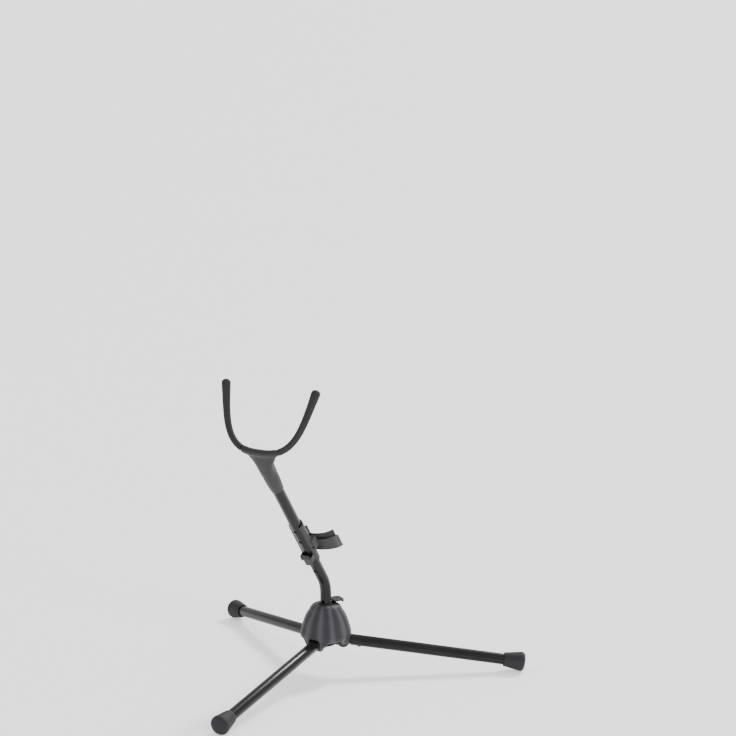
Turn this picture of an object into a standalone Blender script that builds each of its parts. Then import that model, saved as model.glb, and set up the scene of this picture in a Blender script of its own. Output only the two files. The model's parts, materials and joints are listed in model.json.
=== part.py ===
"""Folding tripod saxophone stand: a bent upright on a three-legged hub, a forked yoke for the
bell and a sliding cradle for the body. Metres, +Z up, the yoke leaning over the front leg (-Y)."""
import math

import bmesh
import bpy
from mathutils import Matrix, Vector

MM = 0.001

# Stance: the hub's axis is set back so that the origin is the middle of the footprint.
HUB_Y = 66.0 * MM
LEG_AZIMUTHS = {"front": -90.0, "right": 30.0, "left": 150.0}
LEG_REACH = 284.0 * MM
LEG_DROOP = math.radians(8.09)
LEG_AXIS_HEIGHT = 53.1 * MM
PIN_REACH = 24.7 * MM
PIN_HEIGHT = 47.5 * MM

# Round steel tube, used for the legs and the upright.
TUBE_RADIUS = 8.0 * MM
TUBE_WALL = 1.2 * MM
FIT_GAP = 0.3 * MM

# Upright: vertical to its corner, then a straight arm leaning forward.
TUBE_FOOT = 52.3 * MM
CORNER_HEIGHT = 131.0 * MM
ARM_LEAN = math.radians(37.0)
BEND_RADIUS = 45.0 * MM
BEND_STEPS = 8
ARM_LENGTH = 258.0 * MM
HOLE_PITCH = 22.3 * MM
FIRST_HOLE = 38.6 * MM
HOLE_COUNT = 5

# Hub.
HUB_PROFILE = ((10.9, 99.9), (17.8, 99.9), (20.4, 98.7), (22.4, 95.2), (25.2, 88.5),
               (29.9, 76.9), (34.3, 65.2), (37.2, 54.4))
HUB_WALL = 2.3 * MM
FLUTE_COUNT = 12
FLUTE_DEPTH = 1.3 * MM
CHEEK_INSIDE = 8.4 * MM
CHEEK_WALL = 2.4 * MM
CHEEK_BOTTOM = 43.0 * MM
DECK_HEIGHT = 58.0 * MM
CORE_RADIUS = 14.0 * MM
CORE_BOTTOM = 44.0 * MM
CORE_TOP = 66.0 * MM
SCREW_REACH = 18.5 * MM

# Release lever, behind the upright and to the right.
LEVER_AZIMUTH = 60.0
LEVER_PIVOT = (14.0 * MM, 83.0 * MM)
TAB_TOP = 107.2 * MM

# Yoke: a U-shaped fork in a plane that leans back, on the arm's end.
FORK_TILT = math.radians(20.0)
FORK_SPLAY = math.radians(78.0)
FORK_TURN = 50.0 * MM
FORK_DEGREE = 1.187 * MM
FORK_STEP = 0.5 * MM
SADDLE_DISTANCE = 289.2 * MM
SOCKET_START = 213.0 * MM

# Slider and cradle.
SLEEVE_START = 58.0 * MM
SLEEVE_END = 136.0 * MM
SLEEVE_WALL = 2.1 * MM
CRADLE_HEIGHT = 200.0 * MM
CRADLE_BEHIND = 40.0 * MM
CRADLE_RADIUS = 26.5 * MM
CRADLE_ARM = 9.0 * MM
PAD_HALF = 13.5 * MM
PAD_RISE = 5.0 * MM
LATCH_PIVOT = (10.4 * MM, 72.0 * MM)


def clear_scene():
    for item in list(bpy.data.objects):
        bpy.data.objects.remove(item, do_unlink=True)


def make_collection(name):
    collection = bpy.data.collections.new(name)
    bpy.context.scene.collection.children.link(collection)
    return collection


def make_material(name, colour, roughness, metallic=0.0):
    material = bpy.data.materials.new(name)
    material.use_nodes = True
    shader = material.node_tree.nodes["Principled BSDF"]
    shader.inputs["Base Color"].default_value = (*colour, 1.0)
    shader.inputs["Roughness"].default_value = roughness
    shader.inputs["Metallic"].default_value = metallic
    return material


clear_scene()
STAND = make_collection("saxophone_stand")
CUTTERS = make_collection("saxophone_stand_cutters")
BLACK_PAINT = make_material("black_paint", (0.030, 0.030, 0.032), 0.34)
HUB_PLASTIC = make_material("hub_plastic", (0.075, 0.075, 0.084), 0.45)
GREY_PLASTIC = make_material("grey_plastic", (0.062, 0.060, 0.060), 0.50)
DARK_PLASTIC = make_material("dark_plastic", (0.030, 0.030, 0.032), 0.50)
RUBBER = make_material("rubber", (0.042, 0.042, 0.045), 0.75)
STEEL = make_material("bright_steel", (0.55, 0.55, 0.56), 0.30, 1.0)
BLACK_STEEL = make_material("black_steel", (0.03, 0.03, 0.03), 0.40, 0.6)


# ---- shapes -------------------------------------------------------------------------------

def add_object(name, mesh, frame, material=None):
    """Links a mesh as a piece, or as a hidden cutter where it has no material."""
    item = bpy.data.objects.new(name, mesh)
    item.parent = frame
    if material:
        mesh.materials.append(material)
        STAND.objects.link(item)
        mesh.shade_smooth()
        mesh.set_sharp_from_angle(angle=math.radians(35))
    else:
        CUTTERS.objects.link(item)
        item.hide_render = True
        item.display_type = "WIRE"
    return item


def mesh_from(name, build):
    mesh = bpy.data.meshes.new(name)
    shape = bmesh.new()
    build(shape)
    shape.to_mesh(mesh)
    shape.free()
    return mesh


def axis_matrix(start, end):
    """Places the middle between two points, with Z along the line that joins them."""
    start, end = Vector(start), Vector(end)
    turn = (end - start).to_track_quat("Z", "Y").to_matrix().to_4x4()
    return Matrix.Translation((start + end) / 2) @ turn


def rod(name, frame, start, end, radius, material=None, sides=12):
    """Makes a round bar from one point to another."""
    length = (Vector(end) - Vector(start)).length

    def build(shape):
        bmesh.ops.create_cone(shape, cap_ends=True, segments=sides, radius1=radius, radius2=radius,
                              depth=length, matrix=axis_matrix(start, end))
    return add_object(name, mesh_from(name, build), frame, material)


def block(name, frame, low, high, material=None):
    """Makes a box between two opposite corners."""
    low, high = Vector(low), Vector(high)
    place = Matrix.Translation((low + high) / 2) @ Matrix.Diagonal((*(high - low), 1.0))

    def build(shape):
        bmesh.ops.create_cube(shape, size=1.0, matrix=place)
    return add_object(name, mesh_from(name, build), frame, material)


def turned(name, frame, profile, material=None, steps=28, closed=False, turn=None):
    """Screws a profile of (radius, height) points, listed down its outer side, round Z."""
    points = [Vector((radius, 0.0, height)) for radius, height in profile]
    edges = [(index, index + 1) for index in range(len(points) - 1)]
    if closed:
        edges.append((len(points) - 1, 0))
    mesh = bpy.data.meshes.new(name)
    mesh.from_pydata(points, edges, [])
    item = add_object(name, mesh, frame, material)
    if turn is not None:
        item.matrix_local = turn
    screw = item.modifiers.new("turn", "SCREW")
    screw.steps = steps
    screw.render_steps = steps
    screw.use_merge_vertices = True
    screw.merge_threshold = 0.00001
    screw.use_smooth_shade = True
    return item


def ring(name, frame, inner, outer, bottom, top, material=None, steps=28, turn=None):
    """Makes a plain tube round Z."""
    profile = ((outer, top), (outer, bottom), (inner, bottom), (inner, top))
    return turned(name, frame, profile, material, steps, closed=True, turn=turn)


def bake(item):
    """Replaces an object's mesh by its evaluated shape."""
    bpy.context.view_layer.update()
    graph = bpy.context.evaluated_depsgraph_get()
    mesh = bpy.data.meshes.new_from_object(item.evaluated_get(graph))
    item.modifiers.clear()
    item.data = mesh
    return item


def swept(name, frame, points, radii, material=None, resolution=3, capped=True):
    """Sweeps a round section of varying radius through points, as a mesh."""
    curve = bpy.data.curves.new(name, "CURVE")
    curve.dimensions = "3D"
    curve.bevel_depth = 1.0
    curve.bevel_resolution = resolution
    curve.use_fill_caps = capped
    spline = curve.splines.new("POLY")
    spline.points.add(len(points) - 1)
    for point, place, radius in zip(spline.points, points, radii):
        point.co = (*place, 1.0)
        point.radius = radius
    return add_object(name, solid_from_curve(curve), frame, material)


def outline(name, frame, points, half_depth, place, material=None):
    """Extrudes a flat closed outline both ways from its plane."""
    curve = bpy.data.curves.new(name, "CURVE")
    curve.dimensions = "2D"
    curve.fill_mode = "BOTH"
    curve.extrude = half_depth
    spline = curve.splines.new("POLY")
    spline.points.add(len(points) - 1)
    for point, (across, along) in zip(spline.points, points):
        point.co = (across, along, 0.0, 1.0)
    spline.use_cyclic_u = True
    mesh = solid_from_curve(curve)
    mesh.transform(place)
    return add_object(name, mesh, frame, material)


def solid_from_curve(curve):
    """Turns a curve into a mesh whose caps are welded on."""
    drawn = bpy.data.objects.new(curve.name + "_curve", curve)
    CUTTERS.objects.link(drawn)
    bpy.context.view_layer.update()
    graph = bpy.context.evaluated_depsgraph_get()
    mesh = bpy.data.meshes.new_from_object(drawn.evaluated_get(graph))
    shape = bmesh.new()
    shape.from_mesh(mesh)
    bmesh.ops.remove_doubles(shape, verts=shape.verts, dist=0.000001)
    bmesh.ops.recalc_face_normals(shape, faces=shape.faces)
    shape.to_mesh(mesh)
    shape.free()
    bpy.data.objects.remove(drawn)
    return mesh


def combine(item, operation, *others):
    """Adds a live Boolean for each other shape."""
    for other in others:
        modifier = item.modifiers.new(other.name, "BOOLEAN")
        modifier.operation = operation
        modifier.solver = "EXACT"
        modifier.object = other
    return item


def cut(item, *others):
    return combine(item, "DIFFERENCE", *others)


def join(item, *others):
    return combine(item, "UNION", *others)


def bevel(item, width, segments=2, angle=40.0):
    modifier = item.modifiers.new("bevel", "BEVEL")
    modifier.width = width
    modifier.segments = segments
    modifier.limit_method = "ANGLE"
    modifier.angle_limit = math.radians(angle)
    return item


def scaled(points):
    return [tuple(value * MM for value in point) for point in points]


def make_frame(name, matrix):
    """Makes the empty that a group of pieces, or a joint, is placed by."""
    empty = bpy.data.objects.new(name, None)
    empty.empty_display_size = 10 * MM
    STAND.objects.link(empty)
    empty.matrix_world = matrix
    bpy.context.view_layer.update()
    return empty


def turn_about_z(degrees):
    return Matrix.Rotation(math.radians(degrees), 4, "Z")


# ---- frames -------------------------------------------------------------------------------

HUB_PLACE = Matrix.Translation((0.0, HUB_Y, 0.0))
# In the arm's frame X is the front of the tube, Y is to the right and Z runs up the arm.
ARM_PLACE = HUB_PLACE @ Matrix.Translation((0.0, 0.0, CORNER_HEIGHT)) @ Matrix((
    (0.0, 1.0, 0.0, 0.0),
    (-math.cos(ARM_LEAN), 0.0, -math.sin(ARM_LEAN), 0.0),
    (-math.sin(ARM_LEAN), 0.0, math.cos(ARM_LEAN), 0.0),
    (0.0, 0.0, 0.0, 1.0)))
# In the fork's frame X is to the right and Z runs up the fork, from the middle of its arc.
FORK_PLACE = (ARM_PLACE @ Matrix.Translation((0.0, 0.0, SADDLE_DISTANCE)) @ turn_about_z(90.0)
              @ Matrix.Rotation(-ARM_LEAN - FORK_TILT, 4, "X"))
HUB = make_frame("hub_frame", HUB_PLACE)
ARM = make_frame("arm_frame", ARM_PLACE)
FORK = make_frame("fork_frame", FORK_PLACE)


# ---- hub ----------------------------------------------------------------------------------

def fluted_dome():
    """Turns the hub's outer skin, presses the flutes into it and gives it a wall."""
    dome = turned("hub_shell", HUB, scaled(HUB_PROFILE), HUB_PLASTIC, steps=FLUTE_COUNT * 4)
    bake(dome)
    shoulder = HUB_PROFILE[2][1] * MM
    fade = (HUB_PROFILE[2][1] - HUB_PROFILE[4][1]) * MM
    for vertex in dome.data.vertices:
        azimuth = math.atan2(vertex.co.y, vertex.co.x)
        strength = min(max((shoulder - vertex.co.z) / fade, 0.0), 1.0)
        press = FLUTE_DEPTH * strength * (0.5 + 0.5 * math.cos(FLUTE_COUNT * azimuth))
        radius = math.hypot(vertex.co.x, vertex.co.y)
        vertex.co.x *= 1.0 - press / radius
        vertex.co.y *= 1.0 - press / radius
    solid = dome.modifiers.new("wall", "SOLIDIFY")
    solid.thickness = HUB_WALL
    solid.offset = -1.0
    return dome


def build_hub_shell():
    dome = fluted_dome()
    deck = ring("deck", HUB, CORE_RADIUS + 0.4 * MM, 33.1 * MM, DECK_HEIGHT,
                DECK_HEIGHT + 2.2 * MM, steps=37)
    join(dome, deck)
    for name, azimuth in LEG_AZIMUTHS.items():
        spoke = make_frame("spoke_" + name, HUB_PLACE @ turn_about_z(azimuth))
        for side in (1.0, -1.0):
            inside = side * CHEEK_INSIDE
            outside = side * (CHEEK_INSIDE + CHEEK_WALL)
            cheek = block("cheek_" + name, spoke,
                          (13.0 * MM, min(inside, outside), CHEEK_BOTTOM),
                          (33.2 * MM, max(inside, outside), DECK_HEIGHT + 0.6 * MM))
            join(dome, cheek)
        post_spoke = make_frame("post_spoke_" + name, HUB_PLACE @ turn_about_z(azimuth + 180.0))
        post = rod("post_" + name, post_spoke, (SCREW_REACH, 0, DECK_HEIGHT + 1 * MM),
                   (SCREW_REACH, 0, 68.0 * MM), 3.6 * MM, sides=12)
        join(dome, post)
        notch = block("notch_" + name, spoke, (27.0 * MM, -CHEEK_INSIDE - 0.1 * MM, 40.0 * MM),
                      (42.0 * MM, CHEEK_INSIDE + 0.1 * MM, 57.4 * MM))
        bore = rod("pin_bore_" + name, spoke, (PIN_REACH, -14 * MM, PIN_HEIGHT),
                   (PIN_REACH, 14 * MM, PIN_HEIGHT), 2.7 * MM, sides=12)
        thread = rod("thread_" + name, post_spoke, (SCREW_REACH, 0, 50.0 * MM),
                     (SCREW_REACH, 0, 66.6 * MM), 1.8 * MM, sides=10)
        cut(dome, notch, bore, thread)
    pivot_out, pivot_up = LEVER_PIVOT
    for side in (1.0, -1.0):
        edges = sorted((side * 15.3 * MM, side * 17.4 * MM))
        lug = block("lug", LEVER_SPOKE, (pivot_out - 3 * MM, edges[0], pivot_up - 3 * MM),
                    (30.0 * MM, edges[1], pivot_up + 3.2 * MM))
        trim = ring("lug_trim", HUB, 23.9 * MM, 40.0 * MM, 70 * MM, 95 * MM, steps=24)
        cut(lug, trim)
        join(dome, lug)
    slot = block("lever_slot", LEVER_SPOKE, (9.0 * MM, -5.0 * MM, 92.0 * MM),
                 (18.9 * MM, 5.0 * MM, 104.0 * MM))
    pin_bore = rod("lever_bore", LEVER_SPOKE, (pivot_out, -17.8 * MM, pivot_up),
                   (pivot_out, 17.8 * MM, pivot_up), 1.7 * MM, sides=12)
    cut(dome, slot, pin_bore)


def build_hub_core():
    """Makes the inner boss that holds the upright, with an ear for each screw."""
    core = turned("hub_core", HUB, ((0, CORE_TOP), (CORE_RADIUS, CORE_TOP),
                                    (CORE_RADIUS, CORE_BOTTOM), (0, CORE_BOTTOM)), DARK_PLASTIC)
    for name, azimuth in LEG_AZIMUTHS.items():
        spoke = make_frame("ear_spoke_" + name, HUB_PLACE @ turn_about_z(azimuth + 180.0))
        ear = block("ear_" + name, spoke, (10 * MM, -4.2 * MM, 54.2 * MM),
                    (22.3 * MM, 4.2 * MM, DECK_HEIGHT - FIT_GAP))
        hole = rod("ear_hole_" + name, spoke, (SCREW_REACH, 0, 50 * MM),
                   (SCREW_REACH, 0, 60 * MM), 1.8 * MM, sides=10)
        join(core, ear)
        cut(core, hole)
        build_core_screw(name, spoke)
    socket = rod("socket", HUB, (0, 0, 52.0 * MM), (0, 0, 70 * MM), TUBE_RADIUS + FIT_GAP, sides=28)
    bolt_hole = rod("bolt_hole", HUB, (0, 0, 40 * MM), (0, 0, 53 * MM), 2.8 * MM)
    cut(core, socket, bolt_hole)


def build_core_screw(name, spoke):
    place = Matrix.Translation((SCREW_REACH, 0, 0))
    profile = scaled(((0, 65.8), (1.5, 65.8), (1.5, 53.9), (3.2, 53.9), (3.2, 52.7), (2.2, 51.7),
                      (0, 51.7)))
    turned("core_screw_" + name, spoke, profile, STEEL, steps=12, turn=place)


def build_hub_small_parts():
    turned("base_plate", HUB, scaled(((2.8, 43.7), (13.2, 43.7), (13.8, 43.1), (13.8, 42.2),
                                      (13.0, 41.4), (2.8, 41.4))), DARK_PLASTIC, closed=True)
    bolt = rod("tube_bolt", HUB, (0, 0, 37.6 * MM), (0, 0, 41.1 * MM), 5.6 * MM, STEEL, sides=6)
    join(bolt, rod("bolt_shank", HUB, (0, 0, 40.6 * MM), (0, 0, 64 * MM), 2.4 * MM, sides=12))
    ring("tube_plug", HUB, 2.7 * MM, 6.4 * MM, TUBE_FOOT + 0.2 * MM, 66 * MM, DARK_PLASTIC)
    ring("tube_collar", HUB, TUBE_RADIUS + 0.3 * MM, 9.9 * MM, 84.0 * MM, 103.2 * MM, DARK_PLASTIC)


def build_leg_pin(name, spoke):
    """Makes the riveted pin that a leg turns on, across its two cheeks."""
    half = CHEEK_INSIDE + CHEEK_WALL + 0.2 * MM
    radii = ((0, half + 1.5 * MM), (2.6 * MM, half + 1.5 * MM), (3.7 * MM, half + 0.8 * MM),
             (3.7 * MM, half), (2.4 * MM, half))
    mirrored = [(radius, -height) for radius, height in reversed(radii)]
    place = Matrix.Translation((PIN_REACH, 0, PIN_HEIGHT)) @ Matrix.Rotation(math.pi / 2, 4, "X")
    turned("leg_pin_" + name, spoke, list(radii) + mirrored, STEEL, steps=14, turn=place)


# ---- release ------------------------------------------------------------------------------

def build_release_lever():
    """Makes the thumb lever: a tab on a stem, with a fork that lifts the lock ring."""
    out, up = LEVER_PIVOT
    joint = make_frame("release_lever_joint", HUB_PLACE @ turn_about_z(LEVER_AZIMUTH)
                       @ Matrix.Translation((out, 0, up)))
    tab_low = TAB_TOP - 2.6 * MM - up
    corner = 5.5 * MM
    tab_out, tab_half = 26.2 * MM - out, 9.5 * MM
    points = [(9.2 * MM - out, -tab_half), (tab_out - corner, -tab_half)]
    for centre, start in ((-1.0, -90.0), (1.0, 0.0)):
        middle = (tab_out - corner, centre * (tab_half - corner))
        for step in range(1, 7):
            angle = math.radians(start + 90.0 * step / 6)
            points.append((middle[0] + corner * math.cos(angle), middle[1] + corner * math.sin(angle)))
    points.append((9.2 * MM - out, tab_half))
    lever = outline("release_lever", joint, points, 1.3 * MM,
                    Matrix.Translation((0, 0, tab_low + 1.3 * MM)), GREY_PLASTIC)
    stem = block("stem", joint, (-2.1 * MM, -4.2 * MM, 0), (1.5 * MM, 4.2 * MM, tab_low + 1 * MM))
    bar = block("bar", joint, (-2.5 * MM, -14.9 * MM, -2.8 * MM), (2.5 * MM, 14.9 * MM, 2.8 * MM))
    join(lever, stem, bar)
    for side in (1.0, -1.0):
        edges = sorted((side * 12.9 * MM, side * 14.9 * MM))
        drop = block("fork_drop", joint, (-2.5 * MM, edges[0], -8.4 * MM), (2.5 * MM, edges[1], 0))
        arm = block("fork_arm", joint, (-17 * MM, edges[0], -8.4 * MM), (2.5 * MM, edges[1], -4.4 * MM))
        join(lever, drop, arm)
    bore = rod("bar_bore", joint, (0, -20 * MM, 0), (0, 20 * MM, 0), 1.7 * MM, sides=10)
    cut(lever, bore)
    rod("lever_pin", LEVER_SPOKE, (out, -17.3 * MM, up), (out, 17.3 * MM, up), 1.4 * MM, STEEL, sides=10)


def build_lock_ring():
    """Makes the ring that slides on the upright above the knuckles, with a peg for each fork arm."""
    joint = make_frame("lock_ring_joint", HUB_PLACE @ turn_about_z(LEVER_AZIMUTH))
    lock = ring("lock_ring", joint, TUBE_RADIUS + 0.4 * MM, 12.6 * MM, 66.5 * MM, 70.5 * MM,
                DARK_PLASTIC)
    for side in (1.0, -1.0):
        post = sorted((side * 10.6 * MM, side * 12.5 * MM))
        peg = sorted((side * 11.5 * MM, side * 15.0 * MM))
        join(lock, block("lock_post", joint, (-2.4 * MM, post[0], 69 * MM), (2.4 * MM, post[1], 81.2 * MM)),
             block("lock_peg", joint, (-1.2 * MM, peg[0], 79 * MM), (1.2 * MM, peg[1], 81.2 * MM)))


def build_release_spring():
    turns, per_turn, radius = 3, 11, 9.3 * MM
    bottom, top = 71.4 * MM, 83.2 * MM
    points = []
    for step in range(turns * per_turn + 1):
        share = step / (turns * per_turn)
        angle = 2 * math.pi * turns * share
        points.append((radius * math.cos(angle), radius * math.sin(angle), bottom + (top - bottom) * share))
    swept("release_spring", HUB, points, [0.55 * MM] * len(points), STEEL, resolution=2)


# ---- legs ---------------------------------------------------------------------------------

def build_leg(name, azimuth):
    """Makes one folding leg. Its joint's frame has X outward, its axis frame has X down the tube."""
    spoke = HUB_PLACE @ turn_about_z(azimuth)
    joint_place = spoke @ Matrix.Translation((PIN_REACH, 0, PIN_HEIGHT))
    joint = make_frame("leg_joint_" + name, joint_place)
    axis_rise = LEG_AXIS_HEIGHT - PIN_REACH * math.tan(LEG_DROOP) - PIN_HEIGHT
    axis = make_frame("leg_axis_" + name, joint_place @ Matrix.Translation((0, 0, axis_rise))
                      @ Matrix.Rotation(LEG_DROOP, 4, "Y"))
    length = (LEG_REACH - PIN_REACH) / math.cos(LEG_DROOP)
    build_knuckle(name, joint, axis)
    build_leg_tube(name, axis, length)
    build_foot_cap(name, axis, length)
    build_leg_pin(name, make_frame("pin_spoke_" + name, spoke))


def build_knuckle(name, joint, axis):
    knuckle = rod("leg_knuckle_" + name, joint, (0, -7.8 * MM, 0), (0, 7.8 * MM, 0), 9.2 * MM,
                  DARK_PLASTIC, sides=28)
    shank = rod("shank_" + name, axis, (-4 * MM, 0, 0), (34 * MM, 0, 0), 6.5 * MM, sides=20)
    bore = rod("knuckle_bore_" + name, joint, (0, -12 * MM, 0), (0, 12 * MM, 0), 2.7 * MM, sides=12)
    rivet_hole = rod("knuckle_rivet_hole_" + name, axis, (24 * MM, 0, -9 * MM), (24 * MM, 0, -1.5 * MM),
                     2.1 * MM, sides=10)
    join(knuckle, shank)
    cut(knuckle, bore, rivet_hole)


def build_leg_tube(name, axis, length):
    along = Matrix.Rotation(math.pi / 2, 4, "Y")
    tube = ring("leg_tube_" + name, axis, TUBE_RADIUS - TUBE_WALL, TUBE_RADIUS, 10.4 * MM,
                length - 7.8 * MM, BLACK_PAINT, steps=24, turn=along)
    hole = rod("tube_rivet_hole_" + name, axis, (24 * MM, 0, -10 * MM), (24 * MM, 0, -5 * MM),
               2.1 * MM, sides=10)
    cut(tube, hole)
    profile = scaled(((0, -2.0), (1.8, -2.0), (1.8, -8.3), (3.2, -8.3), (2.8, -9.1), (0, -9.4)))
    turned("leg_rivet_" + name, axis, profile, BLACK_STEEL, steps=10, turn=Matrix.Translation((24 * MM, 0, 0)))


def build_foot_cap(name, axis, length):
    """Makes the flared end cap, flattened where it stands on the floor."""
    start = length - 32 * MM
    end_round = 2.0 * MM
    # The profile runs from the closed end back to the mouth; the solid is turned to lie along X.
    profile = [(0, length + 0.8 * MM), (7.5 * MM, length + 0.4 * MM)]
    for step in range(3):
        angle = math.radians(70 - 40 * step)
        profile.append((13.6 * MM - end_round + end_round * math.cos(angle),
                        length - end_round + end_round * math.sin(angle)))
    profile += [(10.3 * MM, start + 2.2 * MM), (9.2 * MM, start),
                (8.3 * MM, start), (8.3 * MM, length - 7.4 * MM), (0, length - 7.4 * MM)]
    cap = turned("foot_cap_" + name, axis, profile, RUBBER, steps=24,
                 turn=Matrix.Rotation(math.pi / 2, 4, "Y"))
    azimuth = LEG_AZIMUTHS[name]
    floor = make_frame("floor_spoke_" + name, HUB_PLACE @ turn_about_z(azimuth))
    sole = block("sole_" + name, floor, (240 * MM, -20 * MM, -20 * MM), (300 * MM, 20 * MM, 0))
    cut(cap, sole)


# ---- upright ------------------------------------------------------------------------------

def upright_path(foot, tip):
    """Lists the centre-line: vertical, an arc round the corner, then the arm, in the hub's frame."""
    tangent = BEND_RADIUS * math.tan(ARM_LEAN / 2)
    points = [Vector((0, 0, foot))]
    for step in range(BEND_STEPS + 1):
        angle = ARM_LEAN * step / BEND_STEPS
        points.append(Vector((0, -BEND_RADIUS * (1 - math.cos(angle)),
                              CORNER_HEIGHT - tangent + BEND_RADIUS * math.sin(angle))))
    points.append(Vector((0, -tip * math.sin(ARM_LEAN), CORNER_HEIGHT + tip * math.cos(ARM_LEAN))))
    return points


def build_upright():
    path = upright_path(TUBE_FOOT, ARM_LENGTH)
    tube = swept("upright_tube", HUB, path, [TUBE_RADIUS] * len(path), BLACK_PAINT, resolution=8,
                 capped=False)
    wall = tube.modifiers.new("wall", "SOLIDIFY")
    wall.thickness = TUBE_WALL
    wall.offset = -1.0
    for index in range(HOLE_COUNT):
        distance = FIRST_HOLE + HOLE_PITCH * index
        cut(tube, rod("height_hole", ARM, (4 * MM, 0, distance), (12 * MM, 0, distance), 2.3 * MM, sides=12))
    cut(tube, rod("drain_hole", HUB, (0, -4 * MM, 106 * MM), (0, -12 * MM, 106 * MM), 2.3 * MM, sides=10),
        rod("yoke_screw_hole", ARM, (-12 * MM, 0, 232 * MM), (-4 * MM, 0, 232 * MM), 2.0 * MM, sides=10))


# ---- yoke ---------------------------------------------------------------------------------

def fork_point(station):
    """Walks along the U from its bottom; the slope rises with 1 - exp(-(distance / turn)^2)."""
    distance = abs(station) * FORK_DEGREE
    steps = max(1, round(distance / FORK_STEP))
    step = distance / steps
    across = rise = 0.0
    for index in range(steps):
        slope = FORK_SPLAY * (1 - math.exp(-((index + 0.5) * step / FORK_TURN) ** 2))
        across += step * math.cos(slope)
        rise += step * math.sin(slope)
    return Vector((math.copysign(across, station), 0, rise))


def build_yoke_frame():
    """Makes the socket, the flared web and the U-shaped core of the yoke in one moulding."""
    start = SOCKET_START
    profile = [(0, 284 * MM), (6.5 * MM, 284 * MM), (9.4 * MM, 276 * MM), (10.9 * MM, 262 * MM),
               (10.6 * MM, 236 * MM), (10.2 * MM, 227 * MM), (9.1 * MM, start + 2 * MM), (8.9 * MM, start),
               (0, start)]
    yoke = turned("yoke_frame", ARM, profile, GREY_PLASTIC, steps=28)
    half = [(10.2, 246), (11.4, 258), (13.4, 267), (17.0, 273.5), (21.5, 279), (24.4, 283.6), (23.6, 286.6)]
    points = scaled(half) + [(-across, along) for across, along in reversed(scaled(half))]
    web = outline("web", ARM, points, 5.2 * MM,
                  Matrix(((0, 0, 1, 0), (1, 0, 0, 0), (0, 1, 0, 0), (0, 0, 0, 1))))
    bevel(web, 1.6 * MM)
    angles = [-104, -96] + [-88 + 8 * step for step in range(9)]
    angles = angles[:-1] + [-23.4, -22.6, -15, -7.5]
    angles = angles + [0] + [-angle for angle in reversed(angles)]
    radii = [(5.2 if abs(angle) < 23 else 3.4) * MM for angle in angles]
    core = swept("fork_core", FORK, [fork_point(angle) for angle in angles], radii)
    bore = rod("yoke_bore", ARM, (0, 0, start - 2 * MM), (0, 0, ARM_LENGTH + 0.6 * MM),
               TUBE_RADIUS + FIT_GAP, sides=28)
    screw_hole = rod("yoke_screw_bore", ARM, (-14 * MM, 0, 232 * MM), (-6 * MM, 0, 232 * MM),
                     2.0 * MM, sides=10)
    join(yoke, web, core)
    cut(yoke, bore, screw_hole)
    place = Matrix.Translation((0, 0, 232 * MM)) @ Matrix.Rotation(-math.pi / 2, 4, "Y")
    profile = scaled(((0, 12.6), (1.8, 12.4), (3.2, 11.6), (3.2, 10.9), (1.6, 10.9), (1.6, 5.4), (0, 5.4)))
    turned("yoke_screw", ARM, profile, BLACK_STEEL, steps=20, turn=place)


def build_yoke_sleeves():
    """Makes the rubber sleeve over each arm of the fork, thicker toward its round tip."""
    for name, side in (("right", 1.0), ("left", -1.0)):
        stations = [(24.2, 4.3), (24.8, 4.7)]
        stations += [(32 + 8.8 * step, 4.7 + 0.11 * step) for step in range(9)]
        stations += [(107.2, 5.6), (108.9, 5.2), (110.2, 4.4), (111.0, 3.1), (111.3, 1.6)]
        sleeve = swept("yoke_sleeve_" + name, FORK, [fork_point(side * angle) for angle, _ in stations],
                       [radius * MM for _, radius in stations], RUBBER)
        bore_angles = [20] + [26 + 8.7 * step for step in range(10)]
        bore = swept("sleeve_bore", FORK, [fork_point(side * angle) for angle in bore_angles],
                     [3.7 * MM] * len(bore_angles))
        cut(sleeve, bore)


# ---- slider, cradle and latch ---------------------------------------------------------------

def horseshoe(outer, inner, arm):
    """Lists a U outline that opens toward -X, with round ends, in its own plane."""
    points = []
    for step in range(13):
        angle = math.radians(-90 + 15 * step)
        points.append((outer * math.cos(angle), outer * math.sin(angle)))
    middle, reach = (outer + inner) / 2, (outer - inner) / 2
    for step in range(5):
        angle = math.radians(90 + 45 * step)
        points.append((-arm + reach * math.cos(angle), middle + reach * math.sin(angle)))
    for step in range(13):
        angle = math.radians(90 - 15 * step)
        points.append((inner * math.cos(angle), inner * math.sin(angle)))
    for step in range(5):
        angle = math.radians(90 + 45 * step)
        points.append((-arm + reach * math.cos(angle), -middle + reach * math.sin(angle)))
    return points


def cradle_place():
    """Gives the cradle's frame: X forward, and its height sheared to run parallel to the arm."""
    forward = (CRADLE_HEIGHT - CORNER_HEIGHT) * math.tan(ARM_LEAN) - CRADLE_BEHIND
    turn = Matrix(((0, 1, 0, 0), (-1, 0, 0, 0), (0, 0, 1, 0), (0, 0, 0, 1)))
    shear = Matrix.Identity(4)
    shear[0][2] = math.tan(ARM_LEAN)
    return HUB_PLACE @ Matrix.Translation((0, -forward, CRADLE_HEIGHT)) @ turn, shear


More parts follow.
